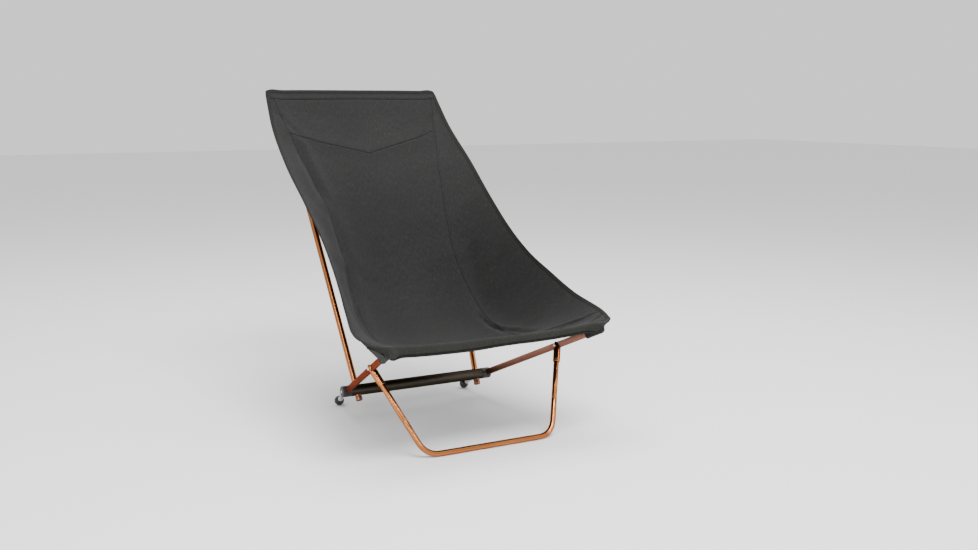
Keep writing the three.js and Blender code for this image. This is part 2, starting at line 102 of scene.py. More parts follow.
class ShaderSheet:
    """A new material with short ways to add and link its nodes."""

    def __init__(self, name: str) -> None:
        """Makes the material with a bare principled shader.

        Args:
            name: the material's name.
        """
        self.material = bpy.data.materials.new(name)
        self.material.use_nodes = True
        self.tree = self.material.node_tree
        self.shader = self.tree.nodes["Principled BSDF"]

    def add(self, kind: str, **values: object) -> bpy.types.Node:
        """Adds a node.

        Args:
            kind: the node's type, without its leading "ShaderNode".
            values: settings of the node, or of its inputs where their names match.

        Returns:
            The new node.
        """
        node = self.tree.nodes.new(f"ShaderNode{kind}")
        for key, value in values.items():
            title = key.replace("_", " ").title()
            if hasattr(node, key):
                setattr(node, key, value)
            else:
                node.inputs[title].default_value = value
        return node

    def link(self, start: bpy.types.NodeSocket, end: bpy.types.NodeSocket) -> None:
        """Links an output to an input."""
        self.tree.links.new(start, end)

    def stretched(self, source: str, scale: Sequence[float]) -> bpy.types.NodeSocket:
        """Coordinates stretched along each axis.

        Args:
            source: "Object" or "UV".
            scale: repeats in each metre, along each axis.

        Returns:
            The output that holds the coordinates.
        """
        coords = self.add("TexCoord")
        mapping = self.add("Mapping")
        mapping.inputs["Scale"].default_value = scale
        self.link(coords.outputs[source], mapping.inputs["Vector"])
        return mapping.outputs["Vector"]

    def noise(self, source: str, scale: Sequence[float], detail: float = 2.0) -> bpy.types.NodeSocket:
        """Noise from 0 to 1 on stretched coordinates.

        Args:
            source: "Object" or "UV".
            scale: repeats in each metre, along each axis.
            detail: octaves of finer noise.

        Returns:
            The output that holds the value.
        """
        node = self.add("TexNoise", scale=1.0, detail=detail)
        self.link(self.stretched(source, scale), node.inputs["Vector"])
        return node.outputs["Fac"]

    def ranged(self, value: bpy.types.NodeSocket, low: float, high: float, start: float = 0.3,
               end: float = 0.7) -> bpy.types.NodeSocket:
        """A value moved from start..end to low..high.

        Args:
            value: the value to move.
            low: the result at start.
            high: the result at end.
            start: the value that gives low.
            end: the value that gives high.

        Returns:
            The output that holds the result.
        """
        node = self.add("MapRange")
        for title, number in (("From Min", start), ("From Max", end), ("To Min", low), ("To Max", high)):
            node.inputs[title].default_value = number
        self.link(value, node.inputs["Value"])
        return node.outputs["Result"]

    def mixed(self, share: bpy.types.NodeSocket, first: object, second: object) -> bpy.types.NodeSocket:
        """A mix of two colours.

        Args:
            share: how much of the second colour shows.
            first: a colour, or the output of a node.
            second: a colour, or the output of a node.

        Returns:
            The output that holds the mixed colour.
        """
        node = self.add("Mix", data_type="RGBA")
        self.link(share, node.inputs["Factor"])
        for socket, value in ((node.inputs[6], first), (node.inputs[7], second)):
            if isinstance(value, bpy.types.NodeSocket):
                self.link(value, socket)
            else:
                socket.default_value = (*value, 1.0)
        return node.outputs[2]

    def sum(self, operation: str, first: bpy.types.NodeSocket, second: object) -> bpy.types.NodeSocket:
        """A sum, product or other result of two values.

        Args:
            operation: the Math node's operation.
            first: the output that holds the first value.
            second: a number, or the output that holds the second value.

        Returns:
            The output that holds the result.
        """
        node = self.add("Math", operation=operation)
        self.link(first, node.inputs[0])
        if isinstance(second, bpy.types.NodeSocket):
            self.link(second, node.inputs[1])
        else:
            node.inputs[1].default_value = second
        return node.outputs[0]

    def bump(self, height: bpy.types.NodeSocket, strength: float, distance: float) -> None:
        """Bumps the surface.

        Args:
            height: the output that holds the height.
            strength: how strongly the bump shows, from 0 to 1.
            distance: the height of the bump in metres.
        """
        node = self.add("Bump", strength=strength, distance=distance)
        self.link(height, node.inputs["Height"])
        self.link(node.outputs["Normal"], self.shader.inputs["Normal"])

    def set(self, **values: object) -> None:
        """Sets inputs of the shader by their names in lower case."""
        titles = {socket.name.lower(): socket for socket in self.shader.inputs}
        for key, value in values.items():
            titles[key.replace("_", " ")].default_value = value


@dataclass(frozen=True)
class Anodised:
    """Dyed and sealed aluminium with lines from drawing the metal along its length."""

    name: str
    colour: Colour
    deep: Colour
    worn: Colour
    # rim: the metal's reflection colour at grazing angles; on the copper it is dark, a painted shade that
    # stands in for dark surroundings reflected at the tubes' edges
    rim: Colour
    roughness: float

    def build(self) -> bpy.types.Material:
        """Makes the material."""
        sheet = ShaderSheet(self.name)
        lines = sheet.noise("UV", (2600.0, 9.0, 1.0), 3.0)
        cloud = sheet.noise("Object", (14.0, 14.0, 14.0), 3.0)
        dyed = sheet.mixed(sheet.ranged(cloud, 0.0, 0.35), self.colour, self.deep)
        drawn = sheet.mixed(sheet.ranged(lines, 0.0, 0.22), dyed, self.deep)
        corner = sheet.add("NewGeometry").outputs["Pointiness"]
        colour = sheet.mixed(sheet.ranged(corner, 0.0, 0.6, 0.56, 0.66), drawn, self.worn)
        sheet.link(colour, sheet.shader.inputs["Base Color"])
        rough = sheet.ranged(lines, self.roughness - 0.05, self.roughness + 0.08)
        sheet.link(rough, sheet.shader.inputs["Roughness"])
        sheet.bump(lines, 0.12, 0.00004)
        # the specular tint takes the rim colour: on the copper a painted dark reflection along the tubes'
        # grazing edges
        sheet.set(metallic=1.0, specular_tint=(*self.rim, 1.0))
        return sheet.material


@dataclass(frozen=True)
class TurnedSteel:
    """Plated steel with the rings that a lathe leaves."""

    name: str
    colour: Colour
    roughness: float

    def build(self) -> bpy.types.Material:
        """Makes the material."""
        sheet = ShaderSheet(self.name)
        rings = sheet.noise("UV", (6.0, 5200.0, 1.0), 2.0)
        dull = tuple(channel * 0.72 for channel in self.colour)
        colour = sheet.mixed(sheet.ranged(rings, 0.0, 0.5), self.colour, dull)
        sheet.link(colour, sheet.shader.inputs["Base Color"])
        rough = sheet.ranged(rings, self.roughness - 0.06, self.roughness + 0.1)
        sheet.link(rough, sheet.shader.inputs["Roughness"])
        sheet.bump(rings, 0.2, 0.00005)
        sheet.set(metallic=1.0)
        return sheet.material


@dataclass(frozen=True)
class Moulded:
    """Moulded nylon with a fine spark-eroded grain."""

    name: str
    colour: Colour
    scuffed: Colour
    roughness: float
    grain: float

    def build(self) -> bpy.types.Material:
        """Makes the material."""
        sheet = ShaderSheet(self.name)
        grain = sheet.noise("Object", (2200.0,) * 3, 2.0)
        cloud = sheet.noise("Object", (60.0,) * 3, 4.0)
        corner = sheet.add("NewGeometry").outputs["Pointiness"]
        patches = sheet.ranged(cloud, 0.2, 1.0)
        worn = sheet.sum("MULTIPLY", sheet.ranged(corner, 0.0, 1.0, 0.53, 0.64), patches)
        sheet.link(sheet.mixed(worn, self.colour, self.scuffed), sheet.shader.inputs["Base Color"])
        rough = sheet.ranged(cloud, self.roughness - 0.05, self.roughness + 0.12)
        sheet.link(rough, sheet.shader.inputs["Roughness"])
        sheet.bump(grain, self.grain, 0.00006)
        sheet.set(specular_ior_level=0.5)
        return sheet.material


@dataclass(frozen=True)
class HeatheredCloth:
    """Plain woven polyester of dark and grey yarns, on the cloth's own coordinates in metres."""

    name: str
    dark: Colour
    grey: Colour
    pale: Colour
    yarn: float = 0.42

    def build(self) -> bpy.types.Material:
        """Makes the material."""
        sheet = ShaderSheet(self.name)
        repeats = 1.0 / (self.yarn * MM)
        warp = sheet.noise("UV", (repeats, 75.0, 1.0), 1.0)
        weft = sheet.noise("UV", (120.0, repeats, 1.0), 1.0)
        blotch = sheet.noise("UV", (780.0, 70.0, 1.0), 2.0)
        cloud = sheet.noise("Object", (9.0,) * 3, 2.0)
        yarns = sheet.sum("ADD", sheet.sum("MULTIPLY", warp, 0.62), sheet.sum("MULTIPLY", weft, 0.38))
        heather = sheet.mixed(sheet.ranged(yarns, 0.0, 1.0, 0.36, 0.64), self.dark, self.grey)
        slubs = sheet.mixed(sheet.ranged(blotch, 0.0, 0.7, 0.46, 0.74), heather, self.pale)
        colour = sheet.mixed(sheet.ranged(cloud, 0.0, 0.22), slubs, self.dark)
        sheet.link(colour, sheet.shader.inputs["Base Color"])
        height = sheet.sum("ADD", self.wave(sheet, "X", repeats), self.wave(sheet, "Y", repeats))
        sheet.bump(sheet.sum("ADD", height, sheet.sum("MULTIPLY", yarns, 1.2)), 0.42, 0.00022)
        sheet.link(sheet.ranged(blotch, 0.78, 0.92), sheet.shader.inputs["Roughness"])
        sheet.set(specular_ior_level=0.16, sheen_weight=0.05, sheen_roughness=0.5)
        return sheet.material

    @staticmethod
    def wave(sheet: ShaderSheet, axis: str, repeats: float) -> bpy.types.NodeSocket:
        """Ridges of the yarns that run across one axis.

        Args:
            sheet: the material.
            axis: "X" or "Y" on the cloth.
            repeats: yarns in each metre.

        Returns:
            The output that holds the height, from 0 to 1.
        """
        node = sheet.add("TexWave", bands_direction=axis, scale=repeats / 20.0 * math.pi, distortion=0.6)
        node.inputs["Detail"].default_value = 1.0
        sheet.link(sheet.stretched("UV", (1.0, 1.0, 1.0)), node.inputs["Vector"])
        return node.outputs["Fac"]


@dataclass(frozen=True)
class RibbedTape:
    """Binding tape with ribs across it, on the tape's own coordinates in metres."""

    name: str
    colour: Colour
    rib: Colour
    pitch: float = 1.3

    def build(self) -> bpy.types.Material:
        """Makes the material."""
        sheet = ShaderSheet(self.name)
        ribs = HeatheredCloth.wave(sheet, "Y", 1.0 / (self.pitch * MM))
        fuzz = sheet.noise("UV", (900.0, 900.0, 1.0), 3.0)
        share = sheet.sum("MULTIPLY", sheet.ranged(fuzz, 0.2, 1.0), ribs)
        sheet.link(sheet.mixed(share, self.colour, self.rib), sheet.shader.inputs["Base Color"])
        sheet.link(sheet.ranged(fuzz, 0.72, 0.92), sheet.shader.inputs["Roughness"])
        sheet.bump(sheet.sum("ADD", ribs, fuzz), 0.5, 0.0002)
        sheet.set(specular_ior_level=0.2, sheen_weight=0.04, sheen_roughness=0.4)
        return sheet.material


@dataclass(frozen=True)
class Thread:
    """Twisted sewing thread."""

    name: str
    colour: Colour
    pale: Colour

    def build(self) -> bpy.types.Material:
        """Makes the material."""
        sheet = ShaderSheet(self.name)
        strands = sheet.noise("Object", (1500.0,) * 3, 2.0)
        colour = sheet.mixed(sheet.ranged(strands, 0.0, 1.0), self.colour, self.pale)
        sheet.link(colour, sheet.shader.inputs["Base Color"])
        sheet.bump(strands, 0.4, 0.0001)
        sheet.set(roughness=0.6, specular_ior_level=0.3)
        return sheet.material


class Palette:
    """Every finish of the chair, made once."""

    def __init__(self) -> None:
        """Builds the materials."""
        # the copper's rim colour is a painted dark reflection at the tubes' grazing edges
        self.copper = Anodised(
            "copper_anodised_tube", colour=(0.47, 0.175, 0.06), deep=(0.25, 0.075, 0.02),
            worn=(0.75, 0.45, 0.25), rim=(0.15, 0.05, 0.02), roughness=0.17,
        ).build()
        self.rail = Anodised(
            "satin_copper_bar", colour=(0.32, 0.155, 0.108), deep=(0.2, 0.09, 0.06),
            worn=(0.5, 0.31, 0.22), rim=(0.34, 0.18, 0.13), roughness=0.33,
        ).build()
        self.gunmetal = Anodised(
            "gunmetal_tube", colour=(0.06, 0.05, 0.038), deep=(0.02, 0.017, 0.013),
            worn=(0.22, 0.2, 0.17), rim=(0.1, 0.09, 0.07), roughness=0.36,
        ).build()
        self.steel = TurnedSteel("plated_steel", colour=(0.62, 0.6, 0.57), roughness=0.28).build()
        self.nylon = Moulded(
            "black_nylon", colour=(0.014, 0.014, 0.015), scuffed=(0.06, 0.06, 0.06),
            roughness=0.42, grain=0.35,
        ).build()
        self.ball = Moulded(
            "gloss_black_nylon", colour=(0.008, 0.008, 0.009), scuffed=(0.05, 0.05, 0.05),
            roughness=0.13, grain=0.04,
        ).build()
        self.cloth = HeatheredCloth(
            "heathered_charcoal_cloth", dark=(0.0048, 0.0047, 0.0046), grey=(0.0168, 0.0166, 0.0164),
            pale=(0.030, 0.0296, 0.0292),
        ).build()
        # the front hem's cloth: the sling's fabric with an olive tint, made lighter as painted light on the
        # rolled hem's lit upper face
        self.hem = HeatheredCloth(
            "olive_hem_cloth_painted_light", dark=(0.0062, 0.0065, 0.0053), grey=(0.0196, 0.0204, 0.017),
            pale=(0.032, 0.0336, 0.0285),
        ).build()
        self.tape = RibbedTape(
            "binding_tape", colour=(0.005, 0.0055, 0.0042), rib=(0.013, 0.0145, 0.011),
        ).build()
        self.thread = Thread(
            "charcoal_thread", colour=(0.004, 0.004, 0.004), pale=(0.013, 0.013, 0.013),
        ).build()
        self.elastic = RibbedTape(
            "stretch_cord_braid", colour=(0.012, 0.012, 0.012), rib=(0.04, 0.04, 0.04), pitch=0.8,
        ).build()


# ---- mesh making ------------------------------------------------------------------------------


def vec(*numbers: float) -> Array:
    """A point or direction as an array."""
    return np.array(numbers, float)


def unit(direction: Array) -> Array:
    """Directions, or rows of them, at length 1."""
    return direction / np.linalg.norm(direction, axis=-1, keepdims=True)


def smooth(share: Array | float) -> Array | float:
    """A share from 0 to 1, eased at both ends."""
    held = np.clip(share, 0.0, 1.0)
    return held * held * (3.0 - 2.0 * held)


def eased(profile: Sequence[Sequence[float]], radius: float, steps: int = 3,
          closed: bool = False) -> list[Array]:
    """An outline with its corners rounded.

    Args:
        profile: the outline's corners.
        radius: the length taken off each side of a corner.
        steps: pieces of each rounded corner.
        closed: whether the last corner joins the first.

    Returns:
        The outline's points.
    """
    points = [np.array(p, float) for p in profile]
    count = len(points)
    out: list[Array] = []
    for i, corner in enumerate(points):
        if not closed and i in (0, count - 1):
            out.append(corner)
            continue
        before = points[i - 1] - corner
        after = points[(i + 1) % count] - corner
        lengths = [np.linalg.norm(before), np.linalg.norm(after)]
        taken = min(radius, 0.45 * lengths[0], 0.45 * lengths[1])
        start = corner + before / lengths[0] * taken
        end = corner + after / lengths[1] * taken
        for k in range(steps + 1):
            t = k / steps
            out.append((1 - t) ** 2 * start + 2 * t * (1 - t) * corner + t * t * end)
    return out


def bezier(start: Array, control: Array, end: Array, steps: int) -> Array:
    """Points along a curve with one control point.

    Args:
        start: the first point.
        control: the control point.
        end: the last point.
        steps: pieces of the curve.

    Returns:
        One row for each point.
    """
    t = np.linspace(0.0, 1.0, steps + 1)[:, None]
    return (1 - t) ** 2 * start + 2 * t * (1 - t) * control + t * t * end


def lengths_along(points: Array) -> Array:
    """Distance of each point from the first, along the line that they make."""
    steps = np.linalg.norm(np.diff(points, axis=0), axis=-1)
    return np.concatenate([np.zeros_like(steps[:1]), np.cumsum(steps, axis=0)])


def lengths_round(section: Array) -> Array:
    """Distance of each point of a closed outline from the first, round the outline."""
    return lengths_along(np.vstack([section, section[:1]]))[:-1]


def lengths_both(grid: Array) -> tuple[Array, Array]:
    """Distances down and across a grid of points, from its first row and its first column."""
    return lengths_along(grid), np.swapaxes(lengths_along(np.swapaxes(grid, 0, 1)), 0, 1)


def pinched(size: float, *shares: float) -> Callable[[float], float]:
    """Eases the ends of a swept piece.

    Args:
        size: the section's size at the eased ends.
        shares: 0 for the path's start, 1 for its end.

    Returns:
        The section's size for a share of the path.
    """
    return lambda share: size if share in shares else 1.0


class Maker:
    """Turns shapes in millimetres from the crossbar's axis into objects in the frame."""

    def __init__(self) -> None:
        """Finds the crossbar's place in the frame."""
        low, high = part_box("crossbar_tube")
        self.shift = vec(0.0, (low.y + high.y) / 2 / MM, 0.0)

    def place(self, points: Array) -> Array:
        """Points in millimetres from the crossbar's axis, as points of the frame in metres."""
        return (np.asarray(points, float) + self.shift) * MM

    def mesh(self, name: str, points: Array, faces: Sequence[Sequence[int]], material: bpy.types.Material,
             coords: Array | None = None, sharp: float = SHARP) -> bpy.types.Object:
        """Makes an object.

        Args:
            name: the piece's name.
            points: the vertices in millimetres from the crossbar's axis.
            faces: the corners of each face.
            material: the piece's finish.
            coords: each vertex's place on its own surface, in metres.
            sharp: the angle in degrees past which an edge stays sharp.

        Returns:
            The new object, linked to the scene.
        """
        mesh = bpy.data.meshes.new(name)
        mesh.from_pydata(self.place(points).tolist(), [], faces)
        if coords is not None:
            corners = np.zeros(len(mesh.loops), np.int32)
            mesh.loops.foreach_get("vertex_index", corners)
            layer = mesh.uv_layers.new(name="surface")
            layer.data.foreach_set("uv", np.asarray(coords, np.float32)[corners].ravel())
        self.face_out(mesh)
        mesh.materials.append(material)
        mesh.shade_smooth()
        mesh.set_sharp_from_angle(angle=math.radians(sharp))
        made = bpy.data.objects.new(name, mesh)
        bpy.context.scene.collection.objects.link(made)
        return made

    @staticmethod
    def face_out(mesh: bpy.types.Mesh) -> None:
        """Turns every face of a closed mesh outwards."""
        work = bmesh.new()
        work.from_mesh(mesh)
        bmesh.ops.recalc_face_normals(work, faces=work.faces)
        work.to_mesh(mesh)
        work.free()

    def lathe(self, name: str, profile: Sequence[Sequence[float]], start: Array, end: Array,
              material: bpy.types.Material, segments: int = 48, ring: bool = False) -> bpy.types.Object:
        """Makes a turned piece.

        Args:
            name: the piece's name.
            profile: (radius, height) pairs, from axis to axis, or a closed outline for a ring.
            start: where the height is 0.
            end: a point on the axis that the height grows towards.
            material: the piece's finish.
            segments: flats round the piece.
            ring: whether the profile is a closed outline clear of the axis.

        Returns:
            The new object.
        """
        way = unit(end - start)
        level = unit(np.cross(way, vec(0, 0, 1) if abs(way[2]) < 0.95 else vec(1, 0, 0)))
        up = np.cross(way, level)
        outline = [(max(radius, 0.0), height) for radius, height in profile]
        run = lengths_along(np.array(outline))
        points: list[Array] = []
        coords: list[tuple[float, float]] = []
        rows: list[list[int]] = []
        for (radius, height), along in zip(outline, run):
            if radius < 1e-6:
                rows.append([len(points)] * segments)
                points.append(start + way * height)
                coords.append((0.0, along * MM))
                continue
            rows.append(list(range(len(points), len(points) + segments)))
            for k in range(segments):
                angle = 2 * math.pi * k / segments
                spoke = level * math.cos(angle) + up * math.sin(angle)
                points.append(start + way * height + radius * spoke)
                fold = 1 - abs(2 * k / segments - 1)
                coords.append((fold * math.pi * radius * MM, along * MM))
        if ring:
            rows.append(rows[0])
        faces = []
        for lower, upper in zip(rows, rows[1:]):
            for k in range(segments):
                nxt = (k + 1) % segments
                corners = [lower[k], lower[nxt], upper[nxt], upper[k]]
                face = list(dict.fromkeys(corners))
                if len(face) > 2:
                    faces.append(face)
        return self.mesh(name, np.array(points), faces, material, np.array(coords))

    def sweep(self, name: str, path: Array, section: Array, level: Array, material: bpy.types.Material,
              scale: Callable[[float], float] | None = None) -> bpy.types.Object:
        """Makes a piece of one section along a path.

        Args:
            name: the piece's name.
            path: the points that the section's origin follows.
            section: (across, up) pairs of a closed outline.
            level: the direction of "across" at the path's start, near enough.
            material: the piece's finish.
            scale: the section's size at a share of the path, where it isn't 1.

        Returns:
            The new object.
        """
        ways = unit(np.gradient(path, axis=0))
        run = lengths_along(path)
        around = lengths_round(section)
        across = level
        points, coords = [], []
        for row, way in enumerate(ways):
            across = unit(across - way * (across @ way))
            up = np.cross(way, across)
            size = scale(run[row] / run[-1]) if scale else 1.0
            points.append(path[row] + size * (section[:, :1] * across + section[:, 1:] * up))
            coords.append(np.column_stack([around, np.full(len(section), run[row])]) * MM)
        faces = tube_faces(len(path), len(section))
        return self.mesh(name, np.vstack(points), faces, material, np.vstack(coords))

    def cut(self, target: bpy.types.Object, tools: Iterable[bpy.types.Object]) -> bpy.types.Object:
        """Takes closed tools away from a piece, and removes the tools.

        Args:
            target: the piece that is cut.
            tools: the closed objects that are taken away.

        Returns:
            The piece.
        """
        for tool in tools:
            modifier = target.modifiers.new("cut", "BOOLEAN")
            modifier.operation = "DIFFERENCE"
            modifier.solver = "EXACT"
            modifier.object = tool
            settled = self.settled(target)
            target.modifiers.clear()
            target.data = settled
            bpy.data.objects.remove(tool)
        target.data.shade_smooth()
        target.data.set_sharp_from_angle(angle=math.radians(SHARP))
        return target

    @staticmethod
    def settled(piece: bpy.types.Object) -> bpy.types.Mesh:
        """The plain mesh that a piece's modifiers give.

        Args:
            piece: the piece, which keeps its modifiers.

        Returns:
            The new mesh.
        """
        graph = bpy.context.evaluated_depsgraph_get()
        graph.update()
        return bpy.data.meshes.new_from_object(piece.evaluated_get(graph), depsgraph=graph)


def grid_faces(rows: int, columns: int, wrap: bool = False, offset: int = 0,
               flip: bool = False) -> list[list[int]]:
    """Faces of a grid whose vertices go row by row.

    Args:
        rows: rows of vertices.
        columns: vertices in each row.
        wrap: whether each row is a closed loop.
        offset: the first vertex's number.
        flip: whether the faces turn the other way.

    Returns:
        The corners of each face.
    """
    faces = []
    for i in range(rows - 1):
        for j in range(columns if wrap else columns - 1):
            nxt = (j + 1) % columns
            face = [i * columns + j, i * columns + nxt, (i + 1) * columns + nxt, (i + 1) * columns + j]
            face = [offset + corner for corner in face]
            faces.append(face[::-1] if flip else face)
    return faces


def tube_faces(rows: int, columns: int) -> list[list[int]]:
    """Faces of loops joined one to the next, with a cap at each end.

    Args:
        rows: loops of vertices.
        columns: vertices in each loop.

    Returns:
        The corners of each face.
    """
    faces = grid_faces(rows, columns, wrap=True)
    faces.append(list(range(columns)))
    faces.append(list(range((rows - 1) * columns, rows * columns)))
    return faces


def circle(radius: float, sides: int = 28) -> Array:
    """A round section.

    Args:
        radius: its radius.
        sides: its flats.

    Returns:
        (across, up) pairs.
    """
    angles = np.arange(sides) * 2 * math.pi / sides
    return radius * np.column_stack([np.cos(angles), np.sin(angles)])


def slab(width: float, height: float, corner: float, steps: int = 4) -> Array:
    """A rectangular section with rounded corners.

    Args:
        width: its size across.
        height: its size up.
        corner: the length taken off each side of a corner.
        steps: pieces of each rounded corner.

    Returns:
        (across, up) pairs.
    """
    x, y = width / 2, height / 2
    return np.array(eased([(-x, -y), (x, -y), (x, y), (-x, y)], corner, steps, closed=True))


def fitted(piece: bpy.types.Object, body: Body, slot: str, *nodes: str) -> bpy.types.Object:
    """Lets a rigid piece stand for nodes and ride on a body.

    Args:
        piece: the piece.
        body: the body that it rides on.
        slot: not used.
        nodes: the nodes that it stands for.

    Returns:
        The piece.
    """
    if nodes:
        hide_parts(*nodes)
    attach(piece, body.value)
    log.info("%s rides on %s", piece.name, body.value)
    return piece


# ---- metal frame ------------------------------------------------------------------------------


@dataclass(frozen=True)
class FrameLines:
    """Places and sizes of the metal frame on the sitter's left, from the crossbar's axis."""

    crossbar: Array = field(default_factory=lambda: vec(0, 0, 58))
    crossbar_radius: float = 13.5
    crossbar_bore: float = 11.7
    crossbar_half: float = 176.5
    hub_end: float = 200.0
    spigot_end: float = 170.5
    spigot_radius: float = 9.5
    rail_at_crossbar: Array = field(default_factory=lambda: vec(188, 0, 58))
    rail_front: Array = field(default_factory=lambda: vec(256, -413, 244))
    rail_height: float = 15.0
    rail_thickness: float = 6.0
    rail_rear_reach: float = 20.0
    ball_radius: float = 12.0
    ball_reach: float = 98.0
    ball_pad: float = 0.5
    pivot: Array = field(default_factory=lambda: vec(232.9, -272.4, 181))
    corner: Array = field(default_factory=lambda: vec(155, -377, 6.2 * math.cos(math.pi / 12)))
    leg_radius: float = 6.2
    leg_bend: float = 34.0
    leg_joint: float = 0.61
    sleeve_radius: float = 8.3
    sleeve_below: float = 42.0
    spot_face: float = 7.4
    pole_at_crossbar: Array = field(default_factory=lambda: vec(161, 0, 58))
    pole_slope: Array = field(default_factory=lambda: vec(0.074, 0.536, 1))
    pole_radius: float = 7.0
    pole_bore: float = 6.1
    pole_joint_rise: float = 397.0
    pole_bend_rise: float = 150.0
    pole_tip: Array = field(default_factory=lambda: vec(224, 413, 757))
    foot_cap_end: float = 27.0

    @property
    def rail_way(self) -> Array:
        """Direction of the rail, towards the front."""
        return unit(self.rail_front - self.rail_at_crossbar)

    @property
    def rail_rear(self) -> Array:
        """The rear end of the rail."""
        return self.rail_at_crossbar - self.rail_way * self.rail_rear_reach

    @property
    def ball(self) -> Array:
        """The middle of the ball foot."""
        centre = self.rail_at_crossbar - self.rail_way * self.ball_reach
        centre[2] = self.ball_radius - self.ball_pad
        return centre

    @property
    def pole_foot(self) -> Array:
        """The lowest point of the back pole."""
        return self.pole_at_crossbar - unit(self.pole_slope) * self.foot_cap_end

    @property
    def pole_joint(self) -> Array:
        """Where the two sections of the back pole meet."""
        return self.pole_at_crossbar + self.pole_slope * self.pole_joint_rise

    @property
    def pole_bend(self) -> Array:
        """The control point of the upper section's bend."""
        return self.pole_joint + self.pole_slope * self.pole_bend_rise

    @property
    def limb_joint(self) -> Array:
        """Where the upper leg tube meets the front bar."""
        return self.pivot + (self.corner - self.pivot) * self.leg_joint


